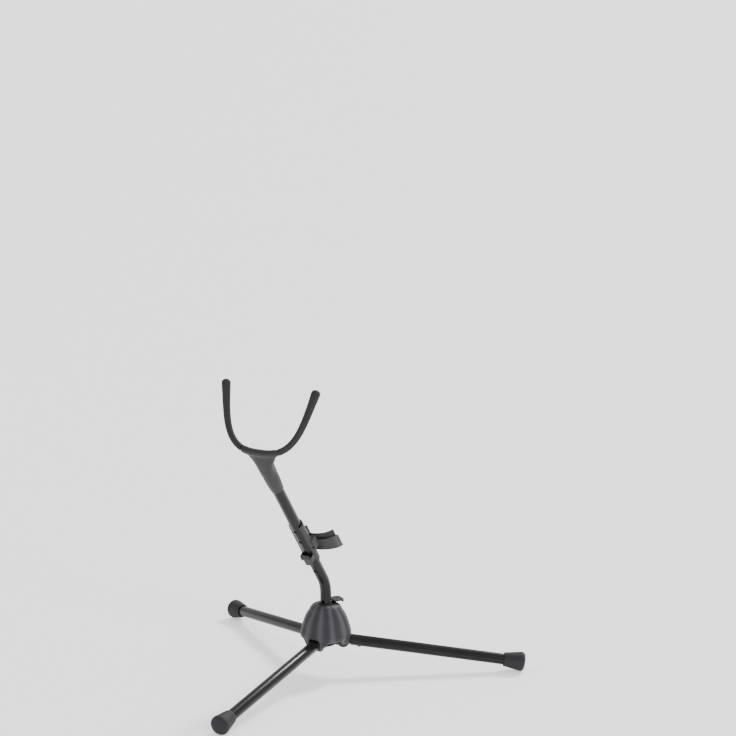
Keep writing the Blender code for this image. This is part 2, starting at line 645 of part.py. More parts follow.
def build_cradle():
    place, shear = cradle_place()
    frame = make_frame("cradle_frame", place)
    inner = CRADLE_RADIUS - 3.7 * MM
    core = outline("cradle_core", frame, horseshoe(CRADLE_RADIUS, inner, CRADLE_ARM), 9.5 * MM,
                   shear, GREY_PLASTIC)
    pad = outline("cradle_pad", frame, horseshoe(inner - FIT_GAP, inner - 2.4 * MM, CRADLE_ARM), PAD_HALF,
                  shear @ Matrix.Translation((0, 0, PAD_RISE)), RUBBER)
    for name, side in (("right", 1.0), ("left", -1.0)):
        across = side * 9.6 * MM
        slant = 2.4 * MM * math.tan(ARM_LEAN)
        head = math.sqrt(inner ** 2 - (abs(across) + 2.4 * MM) ** 2) - slant - FIT_GAP
        cut(core, rod("core_hole", frame, (10 * MM, across, 0), (30 * MM, across, 0), 1.4 * MM, sides=10))
        cut(pad, rod("pad_hole", frame, (8 * MM, across, 0), (30 * MM, across, 0), 3.0 * MM, sides=12))
        place_screw = Matrix.Translation((head, across, 0)) @ Matrix.Rotation(math.pi / 2, 4, "Y")
        profile = scaled(((0, 14.0), (1.1, 14.0), (1.1, 0), (2.4, 0), (2.2, -0.9), (1.4, -1.4), (0, -1.4)))
        turned("cradle_screw_" + name, frame, profile, BLACK_STEEL, steps=16, turn=place_screw)
    return frame, shear


def build_slider(cradle_frame, shear):
    """Makes the C-shaped sleeve that slides on the arm, with the boss for the cradle and the ears
    for the latch."""
    joint = make_frame("slider_joint", ARM_PLACE)
    bore, outer = TUBE_RADIUS + 0.3 * MM, TUBE_RADIUS + 0.3 * MM + SLEEVE_WALL
    sleeve = ring("slider_sleeve", joint, bore, outer, SLEEVE_START, SLEEVE_END, GREY_PLASTIC)
    boss = block("cradle_boss", joint, (-15 * MM, -12.4 * MM, 79 * MM), (-1.0 * MM, 12.4 * MM, 100 * MM))
    clear = rod("boss_clear", cradle_frame, (0, 0, -40 * MM), (0, 0, 40 * MM), CRADLE_RADIUS + FIT_GAP,
                sides=36)
    clear.data.transform(shear)
    tube_room = rod("boss_bore", joint, (0, 0, 40 * MM), (0, 0, 150 * MM), bore + 1 * MM, sides=28)
    mouth = block("sleeve_mouth", joint, (4.6 * MM, -12 * MM, 40 * MM), (14 * MM, 12 * MM, 150 * MM))
    cut(boss, clear, tube_room)
    join(sleeve, boss)
    cut(sleeve, mouth)
    out, along = LATCH_PIVOT
    for side in (1.0, -1.0):
        edges = sorted((side * 7.05 * MM, side * 9.25 * MM))
        join(sleeve, block("latch_ear", joint, (4.5 * MM, edges[0], along - 5 * MM),
                           (out + 2.0 * MM, edges[1], along + 5 * MM)))
        across = side * 9.6 * MM
        cut(sleeve, rod("boss_hole", cradle_frame, (20 * MM, -across, 0), (42 * MM, -across, 0),
                        1.4 * MM, sides=10))
    cut(sleeve, rod("latch_bore", joint, (out, -12 * MM, along), (out, 12 * MM, along), 1.2 * MM, sides=10))
    rod("latch_pin", joint, (out, -9.1 * MM, along), (out, 9.1 * MM, along), 0.95 * MM, STEEL, sides=10)


def build_latch():
    """Makes the rocking latch: a plate on a barrel, with a detent peg over a hole of the tube."""
    out, along = LATCH_PIVOT
    joint = make_frame("latch_joint", ARM_PLACE @ Matrix.Translation((out, 0, along)))
    latch = block("latch_lever", joint, (-0.5 * MM, -6.6 * MM, -15.5 * MM), (1.2 * MM, 6.6 * MM, 7.5 * MM),
                  DARK_PLASTIC)
    barrel = rod("latch_barrel", joint, (0, -6.6 * MM, 0), (0, 6.6 * MM, 0), 1.95 * MM, sides=12)
    peg_along = FIRST_HOLE + HOLE_PITCH - along
    peg = rod("latch_peg", joint, (-2.0 * MM, 0, peg_along), (0.5 * MM, 0, peg_along), 1.7 * MM, sides=10)
    bore = rod("barrel_bore", joint, (0, -10 * MM, 0), (0, 10 * MM, 0), 1.2 * MM, sides=10)
    join(latch, barrel, peg)
    cut(latch, bore)


LEVER_SPOKE = make_frame("lever_spoke", HUB_PLACE @ turn_about_z(LEVER_AZIMUTH))
build_hub_shell()
build_hub_core()
build_hub_small_parts()
build_release_lever()
build_lock_ring()
build_release_spring()
for leg_name, leg_azimuth in LEG_AZIMUTHS.items():
    build_leg(leg_name, leg_azimuth)
build_upright()
build_yoke_frame()
build_yoke_sleeves()
build_slider(*build_cradle())
build_latch()
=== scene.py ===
import json
import math

import bmesh
import bpy
import numpy as np
from mathutils import Matrix, Vector


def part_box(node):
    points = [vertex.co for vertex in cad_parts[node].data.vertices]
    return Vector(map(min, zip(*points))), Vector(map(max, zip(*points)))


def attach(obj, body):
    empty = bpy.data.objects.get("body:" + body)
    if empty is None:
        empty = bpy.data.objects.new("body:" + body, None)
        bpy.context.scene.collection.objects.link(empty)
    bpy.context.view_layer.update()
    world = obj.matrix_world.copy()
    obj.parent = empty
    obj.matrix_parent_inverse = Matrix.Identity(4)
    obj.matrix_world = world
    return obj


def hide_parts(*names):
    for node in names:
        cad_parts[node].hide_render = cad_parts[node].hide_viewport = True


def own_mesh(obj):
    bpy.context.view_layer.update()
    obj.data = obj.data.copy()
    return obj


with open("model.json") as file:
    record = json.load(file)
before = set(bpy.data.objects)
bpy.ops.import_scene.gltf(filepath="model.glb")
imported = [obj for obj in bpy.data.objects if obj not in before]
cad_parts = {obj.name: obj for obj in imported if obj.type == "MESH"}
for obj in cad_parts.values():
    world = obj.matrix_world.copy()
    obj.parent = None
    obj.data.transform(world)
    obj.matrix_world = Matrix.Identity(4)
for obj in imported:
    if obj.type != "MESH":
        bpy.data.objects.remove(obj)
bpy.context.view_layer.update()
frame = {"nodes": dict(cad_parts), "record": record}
joints = {joint["name"]: joint for joint in frame["record"]["behaviour"]["joints"]}
mm = 0.001
print("frame loaded")


def placeOf(origin, axes):
    # columns are the local x, y and z directions, then the origin
    place = np.eye(4)
    place[:3, :3] = np.array(axes, float).T
    place[:3, 3] = origin
    return place


def shift(x=0.0, y=0.0, z=0.0):
    # a place moved by x, y and z and not turned
    place = np.eye(4)
    place[:3, 3] = (x, y, z)
    return place


def turnAbout(axis, degrees):
    # a place turned about one of its own axes
    return np.array(Matrix.Rotation(math.radians(degrees), 4, axis))


def moved(points, place):
    # points times the place's directions, plus its origin
    return points @ place[:3, :3].T + place[:3, 3]


stance = {"axisHeight": 53.1 * mm, "droop": 8.09, "reach": 284 * mm, "tube": 8.0 * mm, "wall": 1.2 * mm,
        "corner": 131 * mm}
legAzimuths = {"front": -90.0, "right": 30.0, "left": 150.0}
leverAzimuth = 60.0
collarLow, collarHigh = (np.array(corner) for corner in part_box("tube_collar"))
hubCentre = (collarLow + collarHigh) / 2
hubPlace = shift(hubCentre[0], hubCentre[1])
armAxis = np.array(joints["slider_slide"]["axis"], float)
armAxis /= np.linalg.norm(armAxis)
armLean = math.degrees(math.atan2(-armAxis[1], armAxis[2]))
armCorner = np.array((hubCentre[0], hubCentre[1], stance["corner"]))
rightWay = np.array((1.0, 0.0, 0.0))
armFront = np.cross(rightWay, armAxis)
# the arm's place: x is the front of the tube, y is to the right, z runs up the arm
armPlace = placeOf(armCorner, (armFront, rightWay, armAxis))
forkShape = {"tilt": 20.0, "saddle": 289.2 * mm, "splay": 78.0, "turn": 50 * mm, "station": 1.187 * mm}
forkUp = np.array((0.0, math.sin(math.radians(forkShape["tilt"])), math.cos(math.radians(forkShape["tilt"]))))
# the fork's place: x is to the right, z runs up the fork, from the bottom of its U
forkPlace = placeOf(armCorner + armAxis * forkShape["saddle"], (rightWay, np.cross(forkUp, rightWay), forkUp))
leverSpot = np.array(joints["release_press"]["pos_m"], float)
leverPlace = shift(*leverSpot) @ turnAbout("Z", leverAzimuth)
latchSpot = np.array(joints["latch_press"]["pos_m"], float)
latchPlace = placeOf(latchSpot, (armFront, rightWay, armAxis))


def gridShape(points, pathClosed=False, startPole=None, endPole=None):
    # rows run along the path and columns around it; poles close the ends with fans
    rows, columns = points.shape[:2]
    row = np.arange(rows if pathClosed else rows - 1)
    column = np.arange(columns)
    here, across = np.meshgrid(row, column, indexing="ij")
    nextRow, nextColumn = (here + 1) % rows, (across + 1) % columns
    quads = np.stack((here * columns + across, here * columns + nextColumn, nextRow * columns + nextColumn,
            nextRow * columns + across), axis=-1).reshape(-1, 4)
    vertices = points.reshape(-1, 3)
    faces = quads.tolist()
    for pole, line, flip in ((startPole, 0, True), (endPole, rows - 1, False)):
        if pole is None:
            continue
        centre = len(vertices)
        vertices = np.vstack((vertices, np.asarray(pole)[None]))
        first = line * columns + column
        second = line * columns + (column + 1) % columns
        pair = (second, first) if flip else (first, second)
        faces += np.stack((np.full(len(column), centre), *pair), axis=-1).tolist()
    return vertices, faces


def softened(points, radius, steps=5, closed=False):
    # each corner becomes a parabola that starts and ends one radius away from it
    points = np.asarray(points, float)
    out = []
    share = np.linspace(0, 1, steps)[:, None]
    for index, point in enumerate(points):
        if not closed and index in (0, len(points) - 1):
            out.append(point[None])
            continue
        before, after = points[index - 1] - point, points[(index + 1) % len(points)] - point
        reach = min(radius, 0.45 * np.linalg.norm(before), 0.45 * np.linalg.norm(after))
        start = point + before / np.linalg.norm(before) * reach
        end = point + after / np.linalg.norm(after) * reach
        out.append((1 - share) ** 2 * start + 2 * share * (1 - share) * point + share ** 2 * end)
    return np.vstack(out)


def turnedShape(profile, place=None, steps=64, closed=False):
    # a profile of (radius, height) carried round z; an open profile starts and ends on the axis
    profile = np.asarray(profile, float)
    poles = (None, None)
    if not closed:
        poles = tuple(np.array((0.0, 0.0, end[1])) for end in (profile[0], profile[-1]))
        profile = profile[1:-1]
    angle = np.linspace(0, 2 * math.pi, steps, endpoint=False)
    points = np.stack((profile[:, :1] * np.cos(angle), profile[:, :1] * np.sin(angle), np.repeat(profile[:,
            1:], steps, axis=1)), axis=-1)
    vertices, faces = gridShape(points, pathClosed=closed, startPole=poles[0], endPole=poles[1])
    return moved(vertices, np.eye(4) if place is None else place), faces


def sweptRows(path, radii, reference, steps):
    # circles square to the path; the reference direction keeps them from twisting
    path = np.asarray(path, float)
    tangent = np.gradient(path, axis=0)
    tangent /= np.linalg.norm(tangent, axis=1)[:, None]
    side = np.cross(tangent, np.asarray(reference, float))
    side /= np.linalg.norm(side, axis=1)[:, None]
    other = np.cross(tangent, side)
    angle = np.linspace(0, 2 * math.pi, steps, endpoint=False)
    radii = np.broadcast_to(np.asarray(radii, float), (len(path),))[:, None, None]
    circle = np.cos(angle)[None, :, None] * side[:, None] + np.sin(angle)[None, :, None] * other[:, None]
    return path[:, None] + radii * circle


def sweptShape(path, radii, reference=(1.0, 0.0, 0.0), steps=32):
    # circles along the path, with a fan at each end
    rows = sweptRows(path, radii, reference, steps)
    return gridShape(rows, startPole=path[0], endPole=path[-1])


def pipeShape(path, radius, wall, reference=(1.0, 0.0, 0.0), steps=64):
    # out along the outer skin and back along the inner one, joined at both ends
    outer = sweptRows(path, radius, reference, steps)
    inner = sweptRows(path, radius - wall, reference, steps)[::-1]
    return gridShape(np.concatenate((outer, inner)), pathClosed=True)


def barShape(outline, low, high, place, round_=0.8 * mm):
    # a flat outline raised from low to high, whose rims are rolled over by insetting it in steps
    outline = np.asarray(outline, float)
    ahead = np.roll(outline, -1, axis=0) - np.roll(outline, 1, axis=0)
    ahead /= np.linalg.norm(ahead, axis=1)[:, None] + 1e-12
    inward = np.stack((-ahead[:, 1], ahead[:, 0]), axis=-1)
    bend = np.linspace(0, math.pi / 2, 5)
    insets = np.concatenate((round_ * (1 - np.sin(bend)), round_ * (1 - np.cos(bend))))
    heights = np.concatenate((low + round_ * (1 - np.cos(bend)), high - round_ * (1 - np.sin(bend))))
    flat = outline[None] + inward[None] * insets[:, None, None]
    points = np.concatenate((flat, np.broadcast_to(heights[:, None, None], (*flat.shape[:2], 1))), axis=-1)
    poles = [np.array((*outline.mean(axis=0), level)) for level in (low, high)]
    vertices, faces = gridShape(points, startPole=poles[0], endPole=poles[1])
    return moved(vertices, place), faces


def ovalOutline(halfX, halfY, corner, centre=(0.0, 0.0), steps=8):
    # a rectangle with round corners, anticlockwise
    points = []
    for number, (signX, signY) in enumerate(((1, 1), (-1, 1), (-1, -1), (1, -1))):
        angle = np.linspace(0, math.pi / 2, steps) + number * math.pi / 2
        middle = (centre[0] + signX * (halfX - corner), centre[1] + signY * (halfY - corner))
        points.append(np.stack((middle[0] + corner * np.cos(angle), middle[1] + corner * np.sin(angle)), -1))
    return np.vstack(points)


def blockShape(low, high, place, corner=0.6 * mm):
    # a box between two corners, with round upright edges and rolled rims
    low, high = np.asarray(low, float), np.asarray(high, float)
    half, centre = (high - low) / 2, (high + low) / 2
    outline = ovalOutline(half[0], half[1], min(corner, half[0] * 0.9, half[1] * 0.9), centre)
    return barShape(outline, low[2], high[2], place, min(corner, half[2] * 0.9, half.min() * 0.9))


def crossBlock(back, front, half, low, high, place, corner=0.6 * mm):
    # a block as wide on either side of the place
    return blockShape((back, -half, low), (front, half, high), place, corner)


def rodShape(start, end, radius, place, steps=32, rim=0.3 * mm):
    # a round bar whose end rims are rolled over
    start, end = np.asarray(start, float), np.asarray(end, float)
    length = np.linalg.norm(end - start)
    turn = np.array(Vector(end - start).to_track_quat("Z", "Y").to_matrix())
    profile = softened([(0, 0), (radius, 0), (radius, length), (0, length)], rim)
    local = np.eye(4)
    local[:3, :3], local[:3, 3] = turn, start
    return turnedShape(profile, place @ local, steps)


def crossRod(out, half, up, radius, place, steps=32, rim=0.3 * mm):
    # a rod that lies across the place, as long on either side of it
    return rodShape((out, -half, up), (out, half, up), radius, place, steps, rim)


def makePiece(name, shapes, sharp=32.0):
    # one object from pairs of points and faces, with every face turned outward
    vertices, faces, offset = [], [], 0
    for points, polygons in shapes:
        vertices.append(points)
        faces += [[index + offset for index in polygon] for polygon in polygons]
        offset += len(points)
    mesh = bpy.data.meshes.new(name)
    mesh.from_pydata(np.vstack(vertices).tolist(), [], faces)
    shape = bmesh.new()
    shape.from_mesh(mesh)
    bmesh.ops.recalc_face_normals(shape, faces=shape.faces)
    shape.to_mesh(mesh)
    shape.free()
    piece = bpy.data.objects.new(name, mesh)
    bpy.context.scene.collection.objects.link(piece)
    polish(piece, sharp)
    return piece


def polish(piece, sharp):
    # smooth shading that stays crisp at edges steeper than this
    piece.data.shade_smooth()
    piece.data.set_sharp_from_angle(angle=math.radians(sharp))


def settle(piece, sharp=32.0):
    # keeps what the modifiers made and drops them
    graph = bpy.context.evaluated_depsgraph_get()
    piece.data = bpy.data.meshes.new_from_object(piece.evaluated_get(graph))
    piece.modifiers.clear()
    polish(piece, sharp)


def carve(piece, shapes, sharp=32.0):
    # takes each shape away from the piece, exactly
    for shape in shapes:
        cutter = makePiece("cutter", [shape])
        hole = piece.modifiers.new("hole", "BOOLEAN")
        hole.operation = "DIFFERENCE"
        hole.solver = "EXACT"
        hole.object = cutter
        settle(piece, sharp)
        bpy.data.objects.remove(cutter)


def joinOnto(piece, *others):
    # adds the others' faces to the piece and drops the others
    joined = bmesh.new()
    for part in (piece, *others):
        joined.from_mesh(part.data)
    joined.to_mesh(piece.data)
    joined.free()
    for part in others:
        bpy.data.objects.remove(part)


def mould(piece, voxel, rounds, sharp=60.0):
    # melts overlapping closed shapes into one skin and rounds its edges
    remesh = piece.modifiers.new("skin", "REMESH")
    remesh.mode = "VOXEL"
    remesh.voxel_size = voxel
    remesh.use_smooth_shade = True
    relax = piece.modifiers.new("relax", "SMOOTH")
    relax.factor = 0.5
    relax.iterations = rounds
    settle(piece, sharp)


class Wire:
    # wraps a socket so that maths on it reads as an expression
    def __init__(self, finish, socket):
        self.finish, self.socket = finish, socket

    def maths(self, operation, *others, flip=False):
        # one maths node; flip puts the other value first
        values = (self, *others)[::-1] if flip else (self, *others)
        return self.finish.node("ShaderNodeMath", {"operation": operation}, dict(enumerate(values)))

    def __add__(self, other):
        return self.maths("ADD", other)

    def __sub__(self, other):
        return self.maths("SUBTRACT", other)

    def __mul__(self, other):
        return self.maths("MULTIPLY", other)

    def __rsub__(self, other):
        return self.maths("SUBTRACT", other, flip=True)

    __radd__ = __add__
    __rmul__ = __mul__

    def clamped(self):
        # held between 0 and 1
        return self.finish.node("ShaderNodeClamp", {}, {"Value": self})

    def step(self, low, high):
        # 0 below low, 1 above high and a smooth rise between
        return self.finish.node("ShaderNodeMapRange", {"interpolation_type": "SMOOTHSTEP"}, {"Value": self,
                "From Min": low, "From Max": high})


class Finish:
    # a material, with a method for each kind of node it is built from
    def __init__(self, name):
        self.material = bpy.data.materials.new(name)
        self.material.use_nodes = True
        self.tree = self.material.node_tree
        self.shader = self.tree.nodes["Principled BSDF"]
        self.coords = self.node("ShaderNodeTexCoord", {}, {}, "Object")

    def node(self, kind, settings, values, output=0):
        # makes a node: settings first, then the values or links of its sockets
        made = self.tree.nodes.new(kind)
        for key, value in settings.items():
            setattr(made, key, value)
        for key, value in values.items():
            self.feed(made.inputs[key], value)
        return Wire(self, made.outputs[output])

    def feed(self, socket, value):
        # links a wire, or sets a plain value
        if isinstance(value, Wire):
            self.tree.links.new(value.socket, socket)
        else:
            socket.default_value = value

    def put(self, **values):
        # feeds the shader's sockets, an underscore standing for a space
        for key, value in values.items():
            self.feed(self.shader.inputs[key.replace("_", " ")], value)

    def noise(self, size, detail=3.0, coords=None, roughness=0.5):
        # size is the width of one lump, in metres
        return self.node("ShaderNodeTexNoise", {}, {"Vector": coords or self.coords, "Scale": 1 / size,
                "Detail": detail, "Roughness": roughness})

    def cells(self, size):
        # distance from the nearest of points scattered one size apart
        return self.node("ShaderNodeTexVoronoi", {"feature": "F1"}, {"Vector": self.coords, "Scale": 1 / size})

    def vector(self, operation, *values, output=0):
        # one vector maths node
        return self.node("ShaderNodeVectorMath", {"operation": operation}, dict(enumerate(values)), output)

    def drawnOut(self, direction, keep):
        # shortens the pattern's travel along a direction, so that it runs in streaks
        along = self.vector("DOT_PRODUCT", self.coords, tuple(direction), output=1)
        pull = self.node("ShaderNodeVectorMath", {"operation": "SCALE"}, {0: tuple(direction),
                "Scale": along * (keep - 1.0)})
        return self.vector("ADD", self.coords, pull)

    def blend(self, share, first, second):
        # first at share 0, second at share 1
        colours = [value if isinstance(value, Wire) else (*value, 1.0) for value in (first, second)]
        return self.node("ShaderNodeMix", {"data_type": "RGBA"}, {0: share, 6: colours[0], 7: colours[1]}, 2)

    def bump(self, height, distance):
        # a height in units of distance, turned into a normal
        return self.node("ShaderNodeBump", {}, {"Height": height, "Distance": distance, "Strength": 1.0})

    def turns(self, count):
        # a cosine with this many waves round the upright's axis
        offset = self.vector("SUBTRACT", self.coords, (*hubCentre[:2], 0.0))
        across, along = (self.node("ShaderNodeSeparateXYZ", {}, {"Vector": offset}, axis) for axis in "XY")
        return (along.maths("ARCTAN2", across) * count).maths("COSINE")

    def upward(self):
        # how far the surface faces up, which is where dust settles
        normal = self.node("ShaderNodeNewGeometry", {}, {}, "Normal")
        return self.vector("DOT_PRODUCT", normal, (0.0, 0.0, 1.0), output=1)


hubShape = {"profile": ((10.9, 101.8), (14.6, 101.8), (18.9, 100.6), (21.6, 97.8), (24.2, 92.9), (28.6, 86.0),
        (32.0, 78.3), (35.7, 66.4), (37.5, 59.6), (36.5, 55.6), (33.4, 52.4)), "wall": 2.3 * mm, "flutes": 12,
        "depth": 1.7 * mm, "cheekInside": 8.4 * mm, "cheekWall": 2.4 * mm, "cheekLow": 43 * mm,
        "cheekHigh": 58.8 * mm, "deck": 58 * mm, "deckTop": 60.2 * mm, "deckIn": 14.4 * mm,
        "deckOut": 33.1 * mm, "pinReach": 24.7 * mm, "pinHeight": 47.5 * mm, "pinBore": 2.7 * mm,
        "screwReach": 18.5 * mm, "post": 3.6 * mm, "screwBore": 1.8 * mm, "leverOut": 14 * mm,
        "leverUp": 83 * mm, "leverBore": 1.7 * mm}
paintLook = {"dark": (0.0075, 0.0075, 0.0072), "light": (0.014, 0.014, 0.0135), "dust": (0.10, 0.10, 0.095),
        "peel": 1.1 * mm, "scratch": 0.5 * mm, "rough": 0.24}


def paintFinish(name, direction):
    # stoved black paint: faint orange peel, fine scratches along the tube and a trace of dust
    paint = Finish(name)
    cloud = paint.noise(38 * mm, 4.0)
    streak = paint.noise(paintLook["scratch"], 2.0, paint.drawnOut(direction, 0.03)).step(0.62, 0.74)
    dust = (paint.upward().step(0.45, 1.0) * paint.noise(4 * mm, 5.0, roughness=0.7).step(0.45, 0.80)) * 0.10
    body = paint.blend(cloud, paintLook["dark"], paintLook["light"])
    body = paint.blend(streak * 0.22, body, (0.10, 0.10, 0.10))
    peel = paint.noise(paintLook["peel"], 2.0)
    paint.put(Base_Color=paint.blend(dust, body, paintLook["dust"]),
            Roughness=(cloud * 0.10 + streak * 0.10 + dust * 2.0 + paintLook["rough"]).clamped(),
            Normal=paint.bump(peel * 0.7 + streak * -0.3, 0.035 * mm), IOR=1.5)
    paint.put(Coat_Weight=0.30, Coat_Roughness=0.15, Coat_IOR=1.4, Specular_IOR_Level=0.08)
    return paint.material


def plasticFinish(name, dark, light, rough, gloss=0.34, waves=0, grain=0.45 * mm, depth=0.045 * mm):
    # moulded plastic with a spark-eroded grain, soft mottling and light scuffs; given waves, a painted
    # highlight on the flute crests and painted shade in the flutes
    plastic = Finish(name)
    mottle = plastic.noise(22 * mm, 5.0, roughness=0.6)
    pits = plastic.cells(grain)
    fine = plastic.noise(grain * 0.6, 3.0)
    scuff = plastic.noise(1.4 * mm, 4.0, plastic.drawnOut((0.0, 0.55, 0.83), 0.12)).step(0.66, 0.78)
    dust = (plastic.upward().step(0.5, 1.0) * plastic.noise(3 * mm, 5.0).step(0.5, 0.8)) * 0.08
    body = plastic.blend((mottle * 1.3 - 0.15).clamped(), dark, light)
    if waves:
        # painted highlight: the flute crests are painted lighter and the flutes stay darker, broken up by the
        # mottling
        crest = 0.5 - plastic.turns(waves) * 0.5
        crestHighlight = crest * crest * (mottle * 0.8 + 0.5).clamped()
        body = plastic.blend(crestHighlight, body, tuple(2.1 * value for value in light))
    body = plastic.blend(fine.step(0.60, 0.72) * 0.22, body, tuple(1.5 * value for value in light))
    body = plastic.blend(scuff * 0.18, body, tuple(1.8 * value for value in light))
    plastic.put(Base_Color=plastic.blend(dust, body, (0.20, 0.20, 0.20)),
            Roughness=(mottle * 0.12 + fine * 0.10 + rough - 0.10 + dust * 1.5).clamped(),
            Normal=plastic.bump(pits * 0.6 + fine * 0.5, depth), Specular_IOR_Level=gloss)
    return plastic.material


rubberLook = {"dark": (0.012, 0.012, 0.0135), "light": (0.024, 0.024, 0.027), "bloom": (0.075, 0.075, 0.082)}


def rubberFinish(name, rough=0.72):
    # soft moulded rubber: matt skin, tiny pits and a pale bloom
    rubber = Finish(name)
    cloud = rubber.noise(9 * mm, 5.0, roughness=0.65)
    skin = rubber.noise(0.35 * mm, 4.0)
    pits = rubber.cells(0.8 * mm).step(0.05, 0.22)
    bloom = rubber.noise(2.2 * mm, 6.0, roughness=0.75).step(0.52, 0.74)
    body = rubber.blend((cloud * 1.4 - 0.2).clamped(), rubberLook["dark"], rubberLook["light"])
    rubber.put(Base_Color=rubber.blend(bloom * 0.20, body, rubberLook["bloom"]),
            Roughness=(cloud * 0.10 + bloom * 0.08 + skin * 0.08 + rough - 0.10).clamped(),
            Normal=rubber.bump(skin * 0.6 + pits * 0.4, 0.06 * mm))
    rubber.put(Specular_IOR_Level=0.30)
    return rubber.material


def steelFinish(name, direction, tint, rough):
    # plated or blackened steel with drawn streaks and small dark specks
    steel = Finish(name)
    grain = steel.noise(0.16 * mm, 3.0, steel.drawnOut(direction, 0.06))
    cloud = steel.noise(5 * mm, 4.0)
    speck = steel.noise(0.9 * mm, 5.0, roughness=0.7).step(0.64, 0.74)
    body = steel.blend(cloud, tuple(0.82 * value for value in tint), tint)
    steel.put(Base_Color=steel.blend(speck * 0.45, body, tuple(0.35 * value for value in tint)),
            Metallic=1.0 - speck * 0.3, Roughness=(grain * 0.16 + speck * 0.2 + rough - 0.08).clamped(),
            Normal=steel.bump(grain, 0.012 * mm))
    return steel.material


upward = (0.0, 0.0, 1.0)
droopTurn = math.radians(stance["droop"])
legWays = {name: (math.cos(math.radians(azimuth)) * math.cos(droopTurn),
        math.sin(math.radians(azimuth)) * math.cos(droopTurn), -math.sin(droopTurn)) for name,
        azimuth in legAzimuths.items()}
armPaint = paintFinish("armPaint", armAxis)
legPaints = {name: paintFinish("legPaint_" + name, way) for name, way in legWays.items()}
# the hub's plastic carries a painted highlight on its flute crests
hubPlastic = plasticFinish("hubPlastic", (0.022, 0.022, 0.025), (0.032, 0.032, 0.037), 0.56, 0.26,
        hubShape["flutes"])
greyPlastic = plasticFinish("greyPlastic", (0.013, 0.0127, 0.0127), (0.022, 0.0213, 0.0213), 0.46)
darkPlastic = plasticFinish("darkPlastic", (0.008, 0.008, 0.0085), (0.015, 0.015, 0.016), 0.44)
rubberSkin = rubberFinish("rubberSkin")
brightSteel = steelFinish("brightSteel", upward, (0.56, 0.56, 0.58), 0.30)
agedSteel = steelFinish("agedSteel", upward, (0.11, 0.11, 0.112), 0.40)
blackSteel = steelFinish("blackSteel", upward, (0.05, 0.05, 0.052), 0.42)
print("finishes made")


def dress(piece, material, body, slot, *nodes):
    # material, body, slot and the nodes that the piece stands for; slot is not used
    piece.data.materials.clear()
    piece.data.materials.append(material)
    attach(piece, body)
    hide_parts(*nodes)


def domeShape(steps=288):
    # the profile smoothed, given an inner copy, and pressed in by a cosine of twelve waves round z
    outer = softened(np.array(hubShape["profile"]) * mm, 3.5 * mm, 6)
    heading = np.gradient(outer, axis=0)
    heading /= np.linalg.norm(heading, axis=1)[:, None]
    inner = outer - np.stack((-heading[:, 1], heading[:, 0]), -1) * hubShape["wall"]
    inner[0] = (outer[0, 0], inner[0, 1])
    loop = softened(np.vstack((outer, inner[::-1])), 0.5 * mm, 4, closed=True)
    angle = np.linspace(0, 2 * math.pi, steps, endpoint=False)
    top = hubShape["profile"][3][1] * mm
    fade = np.clip((top - loop[:, 1]) / (9 * mm), 0, 1)[:, None]
    fade = fade * fade * (3 - 2 * fade)
    press = hubShape["depth"] * fade * (0.5 + 0.5 * np.cos(hubShape["flutes"] * angle))
    radius = loop[:, :1] - press
    points = np.stack((radius * np.cos(angle), radius * np.sin(angle), np.repeat(loop[:, 1:], steps, axis=1)),
            axis=-1)
    vertices, faces = gridShape(points, pathClosed=True)
    return moved(vertices, hubPlace), faces


def gussetShape(spoke, side):
    # a wedge along the inside of the rim that climbs away from the cheek
    start = math.degrees(math.asin(hubShape["cheekInside"] / (32 * mm)))
    turn = np.linspace(start, start + 24, 13)
    low = np.interp(turn, (start, start + 6, start + 24), (44.4, 44.8, 54.0)) * mm
    angle = np.radians(side * turn)[:, None]
    radius = np.array((28.5, 33.6, 34.6, 34.6, 28.5)) * mm
    height = np.stack((low, low, low + 1.4 * mm, 0 * low + 58.6 * mm, 0 * low + 58.6 * mm), -1)
    points = np.stack((radius * np.cos(angle), radius * np.sin(angle), height), -1)
    vertices, faces = gridShape(points, startPole=points[0].mean(axis=0), endPole=points[-1].mean(axis=0))
    return moved(vertices, spoke), faces


